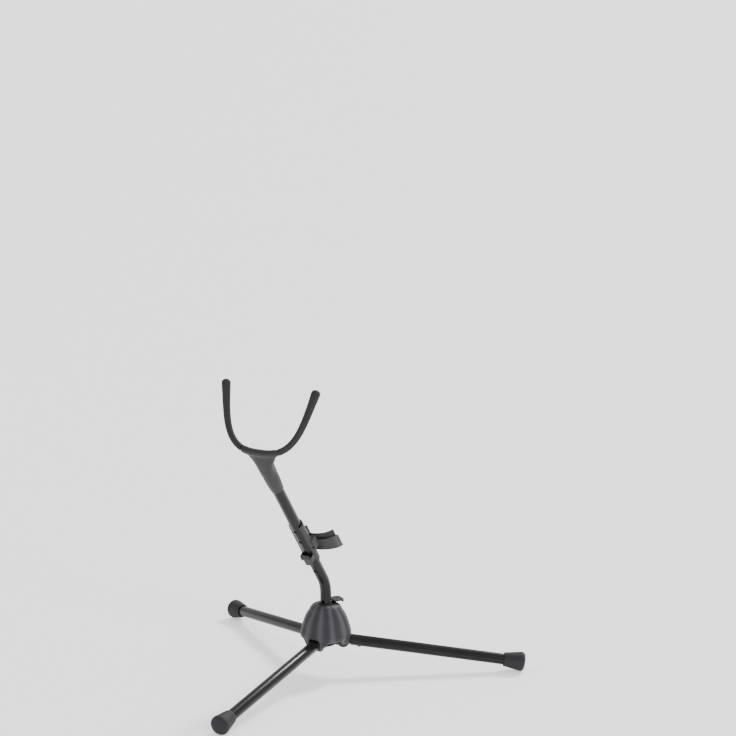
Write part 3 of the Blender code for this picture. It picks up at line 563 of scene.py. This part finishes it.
def makeHub():
    # the notched dome melted with its deck, cheeks, gussets and posts, then bored
    hub = makePiece("hubShellFine", [domeShape()])
    spokes = {name: hubPlace @ turnAbout("Z", azimuth) for name, azimuth in legAzimuths.items()}
    inside, wall = hubShape["cheekInside"], hubShape["cheekWall"]
    pinReach, pinHeight, screwReach = hubShape["pinReach"], hubShape["pinHeight"], hubShape["screwReach"]
    leverSpoke = hubPlace @ turnAbout("Z", leverAzimuth)
    notches = [blockShape((26 * mm, -inside - 0.2 * mm, 40 * mm), (46 * mm, inside + 0.2 * mm, 57.4 * mm),
            spoke, 3 * mm) for spoke in spokes.values()]
    slot = crossBlock(9 * mm, 19.4 * mm, 5.4 * mm, 92 * mm, 108 * mm, leverSpoke, 0.8 * mm)
    carve(hub, notches + [slot])
    deckIn, deckOut, deck, deckTop = (hubShape[key] for key in ("deckIn", "deckOut", "deck", "deckTop"))
    shapes = [turnedShape([(deckIn, deckTop), (deckOut, deckTop), (deckOut, deck), (deckIn, deck)], hubPlace,
            96, closed=True)]
    for name, spoke in spokes.items():
        for side in (1, -1):
            edges = sorted((side * inside, side * (inside + wall)))
            shapes.append(blockShape((13 * mm, edges[0], hubShape["cheekLow"]), (33.4 * mm, edges[1],
                    hubShape["cheekHigh"]), spoke, 0.9 * mm))
            shapes.append(gussetShape(spoke, side))
        back = hubPlace @ turnAbout("Z", legAzimuths[name] + 180.0)
        shapes.append(rodShape((screwReach, 0, 59 * mm), (screwReach, 0, 68 * mm), hubShape["post"], back))
    for side in (1, -1):
        edges = sorted((side * 15.3 * mm, side * 17.4 * mm))
        shapes.append(blockShape((11 * mm, edges[0], 80 * mm), (17.6 * mm, edges[1], 86.2 * mm), leverSpoke))
    extra = makePiece("extra", shapes)
    joinOnto(hub, extra)
    mould(hub, 0.55 * mm, 4)
    bores = []
    for name, spoke in spokes.items():
        bores.append(crossRod(pinReach, 14 * mm, pinHeight, hubShape["pinBore"], spoke))
        back = hubPlace @ turnAbout("Z", legAzimuths[name] + 180.0)
        bores.append(rodShape((screwReach, 0, 50 * mm), (screwReach, 0, 66.6 * mm), hubShape["screwBore"],
                back))
    out, up = hubShape["leverOut"], hubShape["leverUp"]
    bores.append(crossRod(out, 17.8 * mm, up, hubShape["leverBore"], leverSpoke))
    carve(hub, bores, 50.0)
    dress(hub, hubPlastic, "base", "hub_plastic", "hub_shell")


collarShape = {"profile": ((8.3, 103.2), (9.9, 103.2), (9.9, 84.0), (8.3, 84.0)), "round": 0.5 * mm}


def makeCollar():
    # a square ring with softened corners, carried round the upright
    ring = softened(np.array(collarShape["profile"]) * mm, collarShape["round"], 5, closed=True)
    collar = makePiece("tubeCollarFine", [turnedShape(ring, hubPlace, 96, closed=True)])
    dress(collar, darkPlastic, "base", "dark_plastic", "tube_collar")


makeHub()
makeCollar()
print("hub made")


leverShape = {"tabTop": 107.2 * mm, "thick": 2.6 * mm, "out": 26.2 * mm, "half": 9.5 * mm, "corner": 5.5 * mm,
        "back": 9.2 * mm, "ribs": (2.2, 5.4, 8.6), "arm": (12.9 * mm, 14.9 * mm)}


def makeLever():
    # a flat tab with quarter-circle corners, melted with its lip, ribs, stem, cross bar and two fork arms
    out, up = hubShape["leverOut"], hubShape["leverUp"]
    low, high = leverShape["tabTop"] - leverShape["thick"] - up, leverShape["tabTop"] - up
    reach, half, corner = leverShape["out"] - out, leverShape["half"], leverShape["corner"]
    turn = np.linspace(0, math.pi / 2, 12)
    start = leverShape["back"] - out
    cornerA = np.stack((reach - corner + corner * np.sin(turn), -half + corner - corner * np.cos(turn)), -1)
    cornerB = np.stack((reach - corner + corner * np.cos(turn), half - corner + corner * np.sin(turn)), -1)
    outline = np.vstack(([(start, -half)], cornerA, cornerB, [(start, half)]))
    outline = softened(outline, 1.0 * mm, 4, closed=True)
    shapes = [barShape(outline, low, high, leverPlace, 0.9 * mm)]
    # a lip along the tab's outer edge and a rib beneath it
    shapes.append(crossBlock(reach - 2.1 * mm, reach, 6.4 * mm, low - 3.0 * mm, high - 0.6 * mm, leverPlace))
    shapes.append(crossBlock(-2.1 * mm, reach - 1 * mm, 4.2 * mm, low - 1.3 * mm, low + 0.6 * mm, leverPlace))
    # three raised grip ribs across the tab
    for place in leverShape["ribs"]:
        shapes.append(crossRod(place * mm, 6.6 * mm, high - 0.15 * mm, 0.55 * mm, leverPlace, 20))
    shapes.append(crossBlock(-2.1 * mm, 1.5 * mm, 4.2 * mm, 0, low + 1 * mm, leverPlace))
    shapes.append(crossBlock(-2.5 * mm, 2.5 * mm, 14.9 * mm, -2.8 * mm, 2.8 * mm, leverPlace))
    for side in (1, -1):
        edges = sorted(side * edge for edge in leverShape["arm"])
        shapes.append(blockShape((-2.5 * mm, edges[0], -8.4 * mm), (2.5 * mm, edges[1], 0), leverPlace,
                0.4 * mm))
        shapes.append(blockShape((-17 * mm, edges[0], -8.4 * mm), (2.5 * mm, edges[1], -4.4 * mm), leverPlace,
                0.4 * mm))
    lever = makePiece("releaseLeverFine", shapes)
    mould(lever, 0.32 * mm, 3)
    carve(lever, [crossRod(0, 20 * mm, 0, hubShape["leverBore"], leverPlace)], 50.0)
    dress(lever, greyPlastic, "release", "grey_plastic", "release_lever")


springShape = {"turns": 3, "radius": 9.3 * mm, "low": 71.4 * mm, "high": 83.2 * mm, "wire": 0.55 * mm,
        "fixed": 83.8 * mm, "keep": 0.8}


def makeSpring():
    # a helix whose pitch closes at both ends
    share = np.linspace(0, 1, 241)
    angle = 2 * math.pi * springShape["turns"] * share
    rise = share + np.sin(2 * math.pi * share) / (2 * math.pi) * -0.35
    radius, low, high = springShape["radius"], springShape["low"], springShape["high"]
    path = np.stack((radius * np.cos(angle), radius * np.sin(angle), low + (high - low) * rise), -1)
    spring = makePiece("releaseSpringFine", [sweptShape(moved(path, hubPlace), springShape["wire"], upward,
            14)])
    dress(spring, brightSteel, "base", "bright_steel", "release_spring")
    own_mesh(spring)


makeLever()
makeSpring()
print("release made")


capShape = {"length": 30.5 * mm, "end": 13.6 * mm, "mouth": 9.3 * mm, "round": 2.6 * mm, "bore": 8.3 * mm,
        "floor": 7.4 * mm, "grooves": (5.2 * mm, 7.6 * mm)}
legShape = {"tubeStart": 10.4 * mm, "tubeEnd": 7.8 * mm, "rivet": 24 * mm, "rivetBore": 2.1 * mm,
        "pinBore": 2.7 * mm, "pinHalf": 11.0 * mm, "rivetProfile": ((0, 9.4), (1.9, 9.3), (3.2, 8.55), (3.2,
        8.25), (1.8, 8.2), (1.8, 2.0), (0, 2.0)), "pinProfile": ((0, 1.5), (2.2, 1.3), (3.2, 0.7), (3.2, 0.0),
        (2.4, 0.0))}


def makeLeg(name):
    # the leg's places, from its joint: the spoke it folds about and the droop of its tube
    pivot = np.array(joints["leg_fold_" + name]["pos_m"], float)
    spoke = shift(*pivot) @ turnAbout("Z", legAzimuths[name])
    pinReach = np.linalg.norm(pivot[:2] - hubCentre[:2])
    rise = stance["axisHeight"] - pinReach * math.tan(droopTurn) - pivot[2]
    # the axis place has z down the tube and x up
    axis = spoke @ shift(z=rise) @ turnAbout("Y", 90 + stance["droop"])
    length = (stance["reach"] - pinReach) / math.cos(droopTurn)
    makeLegTube(name, axis, length)
    makeFootCap(name, axis, length)
    makeKnuckle(name, spoke, axis)
    makeLegPin(name, spoke)


def makeLegTube(name, axis, length):
    # a hollow tube with softened ends, and the domed rivet that holds it on the knuckle
    radius, wall = stance["tube"], stance["wall"]
    start, end, rivetAt = legShape["tubeStart"], length - legShape["tubeEnd"], legShape["rivet"]
    ring = softened([(radius, start), (radius, end), (radius - wall, end), (radius - wall, start)], 0.45 * mm,
            5, closed=True)
    tube = makePiece("legTubeFine_" + name, [turnedShape(ring, axis, 96, closed=True)])
    carve(tube, [rodShape((4 * mm, 0, rivetAt), (11 * mm, 0, rivetAt), legShape["rivetBore"], axis)])
    dress(tube, legPaints[name], "leg_" + name, "black_paint", "leg_tube_" + name)
    rivet = softened(np.array(legShape["rivetProfile"]) * mm, 0.35 * mm, 4)
    head = makePiece("legRivetFine_" + name, [turnedShape(rivet, axis @ shift(z=rivetAt) @ turnAbout("Y", 90),
            32)])
    dress(head, blackSteel, "leg_" + name, "black_steel", "leg_rivet_" + name)


def makeFootCap(name, axis, length):
    # a flared cap with a rolled mouth, two shallow grooves and a domed end, worn flat where it stands
    start = length - capShape["length"]
    end, mouth = capShape["end"], capShape["mouth"]
    outside = [(0, length + 0.9 * mm), (6.5 * mm, length + 0.6 * mm), (end - 1.7 * mm, length - 0.7 * mm),
            (end + 0.5 * mm, length - 4.2 * mm), (end - 0.4 * mm, length - 9.5 * mm), (10.2 * mm,
            start + 2.4 * mm), (mouth + 0.35 * mm, start + 0.2 * mm)]
    bore, floor = capShape["bore"], length - capShape["floor"]
    inside = [(bore, start), (bore, floor), (0, floor)]
    profile = softened(outside + inside, capShape["round"], 9)
    steps = [np.linspace(here, there, 6, endpoint=False) for here, there in zip(profile[:-1], profile[1:])]
    fine = np.vstack(steps + [profile[-1:]])
    for groove in capShape["grooves"]:
        dip = np.exp(-((fine[:, 1] - (start + groove)) / (0.55 * mm)) ** 2) * (fine[:, 0] > 9.0 * mm)
        fine[:, 0] -= 0.32 * mm * dip
    vertices, faces = turnedShape(fine, axis, 128)
    vertices[:, 2] = np.maximum(vertices[:, 2], 0.0)
    cap = makePiece("footCapFine_" + name, [(vertices, faces)], 40.0)
    dress(cap, rubberSkin, "leg_" + name, "rubber", "foot_cap_" + name)


def makeKnuckle(name, spoke, axis):
    # a disc across the pin melted with the spigot that fills the tube, then bored for pin and rivet
    shapes = [crossRod(0, 7.8 * mm, 0, 9.2 * mm, spoke, 96, 0.8 * mm), rodShape((0, 0, -4 * mm), (0, 0,
            34 * mm), 6.5 * mm, axis, 64, 0.6 * mm)]
    knuckle = makePiece("legKnuckleFine_" + name, shapes)
    mould(knuckle, 0.45 * mm, 3)
    rivetAt = legShape["rivet"]
    carve(knuckle, [crossRod(0, 12 * mm, 0, legShape["pinBore"], spoke), rodShape((1.5 * mm, 0, rivetAt),
            (9 * mm, 0, rivetAt), legShape["rivetBore"], axis)], 50.0)
    dress(knuckle, darkPlastic, "leg_" + name, "dark_plastic", "leg_knuckle_" + name)


def makeLegPin(name, spoke):
    # a shank with a domed, closed-over head at each end
    half = legShape["pinHalf"]
    side = [(radius * mm, half + height * mm) for radius, height in legShape["pinProfile"]]
    profile = softened(side + [(radius, -height) for radius, height in reversed(side)], 0.35 * mm, 4)
    pin = makePiece("legPinFine_" + name, [turnedShape(profile, spoke @ turnAbout("X", 90), 48)])
    dress(pin, agedSteel, "base", "bright_steel", "leg_pin_" + name)


for legName in legAzimuths:
    makeLeg(legName)
print("legs made")


uprightShape = {"foot": 52.3 * mm, "bend": 45 * mm, "length": 258 * mm, "firstHole": 38.6 * mm,
        "pitch": 22.3 * mm, "holes": 5, "holeRadius": 2.3 * mm, "lowHole": 106 * mm, "screw": 232 * mm,
        "screwBore": 2 * mm}


def uprightPath():
    # straight up, an arc round the corner, then straight up the arm
    lean = math.radians(armLean)
    bend, corner = uprightShape["bend"], stance["corner"]
    tangent = bend * math.tan(lean / 2)
    up = np.linspace(uprightShape["foot"], corner - tangent, 12, endpoint=False)
    angle = np.linspace(0, lean, 25)
    along = np.linspace(tangent, uprightShape["length"], 40)[1:]
    forward = np.concatenate((0 * up, bend * (1 - np.cos(angle)), along * math.sin(lean)))
    height = np.concatenate((up, corner - tangent + bend * np.sin(angle), corner + along * math.cos(lean)))
    return moved(np.stack((0 * forward, -forward, height), -1), hubPlace)


def makeUpright():
    # a pipe along the path, less its height holes, one hole by the hub and one for the yoke's screw
    tube = makePiece("uprightTubeFine", [pipeShape(uprightPath(), stance["tube"], stance["wall"], rightWay,
            96)])
    cutters = []
    for index in range(uprightShape["holes"]):
        spot = uprightShape["firstHole"] + index * uprightShape["pitch"]
        cutters.append(rodShape((4 * mm, 0, spot), (12 * mm, 0, spot), uprightShape["holeRadius"], armPlace,
                40))
    low, screw = uprightShape["lowHole"], uprightShape["screw"]
    cutters.append(rodShape((0, -4 * mm, low), (0, -12 * mm, low), uprightShape["holeRadius"], hubPlace, 32))
    cutters.append(rodShape((-12 * mm, 0, screw), (-4 * mm, 0, screw), uprightShape["screwBore"], armPlace, 32))
    carve(tube, cutters, 40.0)
    dress(tube, armPaint, "base", "black_paint", "upright_tube")


makeUpright()
print("upright made")


yokeShape = {"socket": 213 * mm, "coreThin": 3.4 * mm, "coreThick": 5.2 * mm, "sleeveStart": 4.6 * mm,
        "sleeveEnd": 6.7 * mm, "first": 24.2, "last": 111.3, "coreEnd": 104, "stem": ((0, 281), (3.5, 281),
        (7.4, 271), (10.2, 258), (10.7, 246), (10.6, 236), (10.2, 227)), "webAt": (246, 258, 267, 273.5, 279,
        283.6, 289.2), "webHalf": (10.2, 11.3, 13.6, 16.8, 20.6, 24.0, 26.4), "screw": ((0, 12.6), (1.8, 12.4),
        (3.2, 11.6), (3.2, 10.9), (1.6, 10.9), (1.6, 5.4), (0, 5.4))}


def forkCurve(stations):
    # from the bottom of the U its slope rises as one less the exponential of minus (distance over turn) squared
    distance = np.linspace(0, 150 * mm, 1201)
    middle = (distance[1:] + distance[:-1]) / 2
    slope = math.radians(forkShape["splay"]) * (1 - np.exp(-(middle / forkShape["turn"]) ** 2))
    across = np.concatenate(((0,), np.cumsum(np.cos(slope)))) * distance[1]
    rise = np.concatenate(((0,), np.cumsum(np.sin(slope)))) * distance[1]
    along = np.abs(stations) * forkShape["station"]
    return np.sign(stations) * np.interp(along, distance, across), np.interp(along, distance, rise)


def forkPath(stations):
    # the fork's curve, laid in its own plane
    across, rise = forkCurve(stations)
    return moved(np.stack((across, 0 * across, rise), -1), forkPlace)


def webShape():
    # oval rows up the arm that widen, thin and turn into the fork's plane, lifted sideways along the U
    along = np.linspace(248, forkShape["saddle"] / mm, 40)
    share = (along - along[0]) / (along[-1] - along[0])
    half = np.interp(along, yokeShape["webAt"], yokeShape["webHalf"]) * mm
    thick = np.interp(along, (246, 258, 268, 278, 289.2), (10.2, 9.8, 8.2, 6.5, 5.25)) * mm
    angle = np.linspace(0, 2 * math.pi, 72, endpoint=False)
    wide, deep = np.cos(angle), np.sin(angle)
    wide = np.sign(wide) * np.abs(wide) ** 0.75
    deep = np.sign(deep) * np.abs(deep) ** 0.85
    ease = share ** 2 * (3 - 2 * share)
    normal = armFront[None] * (1 - ease[:, None]) - forkPlace[None, :3, 1] * ease[:, None]
    normal /= np.linalg.norm(normal, axis=1)[:, None]
    across = half[:, None] * wide
    stations = np.linspace(0, 60, 241)
    lift = np.interp(np.abs(across), *forkCurve(stations)) * ease[:, None] ** 2
    points = (armCorner + armAxis * (along * mm)[:, None])[:, None] + across[..., None] * rightWay
    points = points + (thick[:, None] * deep)[..., None] * normal[:, None] + lift[..., None] * forkUp
    return gridShape(points, startPole=points[0].mean(axis=0), endPole=points[-1].mean(axis=0))


def makeYokeFrame():
    # the socket's profile melted with the web and the fork's core, then bored for the tube and the screw
    start, end, screwAt = yokeShape["socket"], yokeShape["coreEnd"], uprightShape["screw"]
    mouth = ((9.1, start / mm + 2), (8.9, start / mm), (0, start / mm))
    stem = softened(np.array(yokeShape["stem"] + mouth) * mm, 1.2 * mm, 6)
    stations = np.linspace(-end, end, 2 * end + 1)
    slim = np.clip((np.abs(stations) - 22.4) / 0.9, 0, 1)
    radii = yokeShape["coreThick"] + (yokeShape["coreThin"] - yokeShape["coreThick"]) * slim
    shapes = [turnedShape(stem, armPlace, 96), webShape(), sweptShape(forkPath(stations), radii, forkPlace[:3,
            1], 40)]
    yoke = makePiece("yokeFrameFine", shapes)
    mould(yoke, 0.6 * mm, 8)
    carve(yoke, [rodShape((0, 0, start - 2 * mm), (0, 0, uprightShape["length"] + 0.6 * mm), 8.3 * mm,
            armPlace, 96), rodShape((-14 * mm, 0, screwAt), (-6 * mm, 0, screwAt), uprightShape["screwBore"],
            armPlace)], 50.0)
    dress(yoke, greyPlastic, "base", "grey_plastic", "yoke_frame")
    head = softened(np.array(yokeShape["screw"]) * mm, 0.4 * mm, 4)
    screwPlace = armPlace @ shift(z=screwAt) @ turnAbout("Y", -90)
    screw = makePiece("yokeScrewFine", [turnedShape(head, screwPlace, 40)])
    carve(screw, [crossBlock(-2.2 * mm, 2.2 * mm, 0.45 * mm, 11.5 * mm, 14 * mm, screwPlace, 0.1 * mm),
            crossBlock(-0.45 * mm, 0.45 * mm, 2.2 * mm, 11.5 * mm, 14 * mm, screwPlace, 0.1 * mm)])
    dress(screw, blackSteel, "base", "black_steel", "yoke_screw")


def makeSleeve(name, side):
    # a hose that thickens to a round tip, lined by a blind bore over the fork's arm
    first, end = yokeShape["first"], yokeShape["last"]
    outer = np.linspace(first, end, 120)
    share = (outer - first) / (end - first)
    radii = yokeShape["sleeveStart"] + (yokeShape["sleeveEnd"] - yokeShape["sleeveStart"]) * share ** 3
    arc = (end - outer) * forkShape["station"]
    tip = np.clip(arc / (6.4 * mm), 0, 1)
    radii *= np.sqrt(np.clip(1 - (1 - tip) ** 2, 0.0004, 1))
    mouth = np.clip((outer - first) / 0.8, 0, 1)
    radii *= 0.93 + 0.07 * np.sqrt(mouth)
    inner = np.linspace(104.6, first, 90)
    innerRadii = np.where(inner > yokeShape["coreEnd"], 2.6 * mm, 3.7 * mm)
    rows = np.concatenate((sweptRows(forkPath(side * inner), innerRadii, forkPlace[:3, 1], 48)[:, ::-1],
            sweptRows(forkPath(side * outer), radii, forkPlace[:3, 1], 48)))
    # the inner rows run the other way, so they are turned to match the outer rows
    rows[:len(inner)] = np.roll(rows[:len(inner)], 25, axis=1)
    poles = forkPath(np.array([side * 104.7, side * end]))
    shape = gridShape(rows, startPole=poles[0], endPole=poles[1])
    sleeve = makePiece("yokeSleeveFine_" + name, [shape], 50.0)
    dress(sleeve, rubberSkin, "base", "rubber", "yoke_sleeve_" + name)


makeYokeFrame()
makeSleeve("right", 1)
makeSleeve("left", -1)
print("yoke made")


cradleShape = {"height": 200 * mm, "behind": 40 * mm, "radius": 26.5 * mm, "wall": 3.7 * mm, "arm": 9 * mm,
        "halfCore": 9.5 * mm, "padLow": -8.5 * mm, "padHigh": 18.5 * mm, "screwOut": 9.6 * mm,
        "screwBore": 1.4 * mm, "headBore": 3.0 * mm, "screw": ((0, 14), (1.1, 14), (1.1, 0), (2.4, 0), (2.2,
        -0.9), (1.4, -1.4), (0, -1.4))}


def horseshoe(outer, inner, arm):
    # two half circles joined by straight arms with round ends, anticlockwise, open toward -x
    turn = np.linspace(-math.pi / 2, math.pi / 2, 49)
    tip = np.linspace(0, math.pi, 13)
    middle, reach = (outer + inner) / 2, (outer - inner) / 2
    outside = np.stack((outer * np.cos(turn), outer * np.sin(turn)), -1)
    inside = np.stack((inner * np.cos(turn), inner * np.sin(turn)), -1)[::-1]
    upper = np.stack((-arm - reach * np.sin(tip), middle + reach * np.cos(tip)), -1)
    lower = np.stack((-arm - reach * np.sin(tip), -middle + reach * np.cos(tip)), -1)
    return np.vstack((outside, upper, inside, lower))


def cradlePlaces():
    # a level place behind the arm, and the same place sheared along the arm's lean
    lean = math.tan(math.radians(armLean))
    forward = (cradleShape["height"] - armCorner[2]) * lean - cradleShape["behind"]
    origin = (hubCentre[0], hubCentre[1] - forward, cradleShape["height"])
    level = placeOf(origin, ((0, -1, 0), (1, 0, 0), (0, 0, 1)))
    slant = level.copy()
    # heights are sheared so that the walls run parallel to the arm
    slant[:3, 2] = level[:3, 2] + level[:3, 0] * lean
    return level, slant


def makeCradle():
    # two nested horseshoes, softened, with a screw on either side of the arm
    level, slant = cradlePlaces()
    outer, inner, arm = cradleShape["radius"], cradleShape["radius"] - cradleShape["wall"], cradleShape["arm"]
    core = makePiece("cradleCoreFine", [barShape(horseshoe(outer, inner, arm), -cradleShape["halfCore"],
            cradleShape["halfCore"], slant, 0.0001 * mm)])
    pad = makePiece("cradlePadFine", [barShape(horseshoe(inner - 0.3 * mm, inner - 2.4 * mm, arm),
            cradleShape["padLow"], cradleShape["padHigh"], slant, 0.0001 * mm)])
    for piece, voxel, rounds in ((core, 0.4 * mm, 8), (pad, 0.35 * mm, 5)):
        mould(piece, voxel, rounds)
    for name, side in (("right", 1), ("left", -1)):
        across = side * cradleShape["screwOut"]
        lean = math.tan(math.radians(armLean))
        head = math.sqrt(inner ** 2 - (abs(across) + 2.4 * mm) ** 2) - 2.4 * mm * lean - 0.3 * mm
        for piece, start, bore in ((core, 10 * mm, "screwBore"), (pad, 8 * mm, "headBore")):
            carve(piece, [rodShape((start, across, 0), (30 * mm, across, 0), cradleShape[bore], level)], 50.0)
        profile = softened(np.array(cradleShape["screw"]) * mm, 0.25 * mm, 4)
        place = level @ shift(head, across, 0) @ turnAbout("Y", 90)
        screw = makePiece("cradleScrewFine_" + name, [turnedShape(profile, place, 32)])
        carve(screw, [crossBlock(-1.5 * mm, 1.5 * mm, 0.3 * mm, -2.5 * mm, -0.8 * mm, place, 0.1 * mm)])
        dress(screw, blackSteel, "slider", "black_steel", "cradle_screw_" + name)
    dress(core, greyPlastic, "slider", "grey_plastic", "cradle_core")
    dress(pad, rubberSkin, "slider", "rubber", "cradle_pad")


sliderShape = {"low": 58 * mm, "high": 136 * mm, "bore": 8.3 * mm, "outer": 10.4 * mm, "pin": 72 * mm,
        "pinBore": 1.2 * mm, "ear": (7.05 * mm, 9.25 * mm), "clear": 26.8 * mm}


def makeSlider():
    # an open sleeve melted with the cradle's boss and the latch's ears, then bored
    level, slant = cradlePlaces()
    low, high, bore, outer, clearing = (sliderShape[key] for key in ("low", "high", "bore", "outer", "clear"))
    ring = softened([(outer, high), (outer, low), (bore, low), (bore, high)], 0.8 * mm, 5, closed=True)
    sleeve = makePiece("sliderSleeveFine", [turnedShape(ring, armPlace, 96, closed=True)])
    carve(sleeve, [crossBlock(4.6 * mm, 14 * mm, 12 * mm, 40 * mm, 150 * mm, armPlace, 0.2 * mm)])
    boss = makePiece("boss", [crossBlock(-15 * mm, -1 * mm, 12.4 * mm, 79 * mm, 100 * mm, armPlace, 1.4 * mm)])
    clear = turnedShape([(0, -40 * mm), (clearing, -40 * mm), (clearing, 40 * mm), (0, 40 * mm)], slant, 128)
    carve(boss, [clear, rodShape((0, 0, 40 * mm), (0, 0, 150 * mm), bore + 1 * mm, armPlace, 64)])
    out, along = outer, sliderShape["pin"]
    ears = []
    for side in (1, -1):
        edges = sorted(side * edge for edge in sliderShape["ear"])
        ears.append(blockShape((4.5 * mm, edges[0], along - 5 * mm), (out + 2 * mm, edges[1], along + 5 * mm),
                armPlace, 0.7 * mm))
    earPiece = makePiece("ears", ears)
    joinOnto(sleeve, boss, earPiece)
    mould(sleeve, 0.38 * mm, 3)
    screwOut = cradleShape["screwOut"]
    holes = [rodShape((20 * mm, across, 0), (42 * mm, across, 0), cradleShape["screwBore"], level)
            for across in (screwOut, -screwOut)]
    holes.append(crossRod(out, 12 * mm, along, sliderShape["pinBore"], armPlace))
    carve(sleeve, holes, 50.0)
    dress(sleeve, greyPlastic, "slider", "grey_plastic", "slider_sleeve")


def makeLatch():
    # a plate on a barrel with a peg at one end and grip ribs at the other, melted and bored
    shapes = [crossBlock(-0.5 * mm, 1.2 * mm, 6.6 * mm, -15.5 * mm, 7.5 * mm, latchPlace, 0.7 * mm),
            crossRod(0, 6.6 * mm, 0, 1.95 * mm, latchPlace, 40), rodShape((-2 * mm, 0, -11.1 * mm), (0.5 * mm,
            0, -11.1 * mm), 1.7 * mm, latchPlace)]
    # grip ribs across the thumb end
    for height in (3.2, 4.8, 6.4):
        shapes.append(crossRod(1.15 * mm, 5 * mm, height * mm, 0.4 * mm, latchPlace, 16))
    latch = makePiece("latchLeverFine", shapes)
    mould(latch, 0.24 * mm, 2)
    carve(latch, [crossRod(0, 10 * mm, 0, sliderShape["pinBore"], latchPlace)], 50.0)
    dress(latch, darkPlastic, "latch", "dark_plastic", "latch_lever")


makeCradle()
makeSlider()
makeLatch()
print("slider made")


keptLooks = {"hub_core": darkPlastic, "base_plate": darkPlastic, "tube_plug": darkPlastic,
        "lock_ring": darkPlastic, "core_screw_front": brightSteel, "core_screw_right": brightSteel,
        "core_screw_left": brightSteel, "tube_bolt": brightSteel, "lever_pin": agedSteel,
        "latch_pin": agedSteel}
for nodeName, look in keptLooks.items():
    for slot in frame["nodes"][nodeName].material_slots:
        slot.material = look
print("kept nodes finished")


cameraView = {"place": (1.5585, hubCentre[1] - 2.6652, 1.1279), "azimuth": 119.204, "pitch": -12.486,
        "lens": 111.35, "sensor": 36.0}


def makeCamera():
    # a camera that looks along its azimuth, tipped by its pitch
    lens = bpy.data.cameras.new("camera")
    lens.lens = cameraView["lens"]
    lens.sensor_width = cameraView["sensor"]
    camera = bpy.data.objects.new("camera", lens)
    camera.location = cameraView["place"]
    turn, tilt = math.radians(cameraView["azimuth"]), math.radians(cameraView["pitch"])
    heading = Vector((math.cos(turn) * math.cos(tilt), math.sin(turn) * math.cos(tilt), math.sin(tilt)))
    camera.rotation_euler = heading.to_track_quat("-Z", "Y").to_euler()
    bpy.context.scene.collection.objects.link(camera)
    bpy.context.scene.camera = camera


floorLook = {"radius": 60.0, "drop": 0.0004, "dark": (0.86, 0.86, 0.86), "light": (0.88, 0.88, 0.88),
        "glow": 0.6}


def makeFloor():
    # a wide disc with a faint mottling, so it isn't a single flat colour
    angle = np.linspace(0, 2 * math.pi, 64, endpoint=False)
    radius = floorLook["radius"]
    ring = np.stack((radius * np.cos(angle), radius * np.sin(angle), 0 * angle - floorLook["drop"]), -1)
    mesh = bpy.data.meshes.new("floor")
    mesh.from_pydata(ring.tolist(), [], [list(range(len(ring)))])
    floor = bpy.data.objects.new("floor", mesh)
    bpy.context.scene.collection.objects.link(floor)
    pale = Finish("paleFloor")
    pale.put(Base_Color=pale.blend(pale.noise(0.6, 3.0), floorLook["dark"], floorLook["light"]), Roughness=0.6,
            Emission_Color=(1.0, 1.0, 1.0, 1.0), Emission_Strength=floorLook["glow"])
    mesh.materials.append(pale.material)


lightPlan = {"key": ((0.6, 4.0, 3.7), 10.0, 2.5), "fill": ((4.2, -2.0, 2.4), 14.0, 0.8), "back": ((0.6, 4.2,
        3.4), 30.0, 0.8)}
skyStrength = 0.95


def makeLights():
    # far lamps of a given apparent width, so that the floor stays evenly lit
    for name, (place, width, strength) in lightPlan.items():
        lamp = bpy.data.lights.new(name, "SUN")
        lamp.angle = math.radians(width)
        lamp.energy = strength
        light = bpy.data.objects.new(name, lamp)
        light.location = place
        light.rotation_euler = (-Vector(place)).to_track_quat("-Z", "Y").to_euler()
        bpy.context.scene.collection.objects.link(light)
    world = bpy.data.worlds.new("studio")
    bpy.context.scene.world = world
    world.use_nodes = True
    sky = world.node_tree.nodes["Background"]
    sky.inputs["Color"].default_value = (1.0, 1.0, 1.0, 1.0)
    sky.inputs["Strength"].default_value = skyStrength


makeCamera()
makeFloor()
makeLights()
print("scene ready")
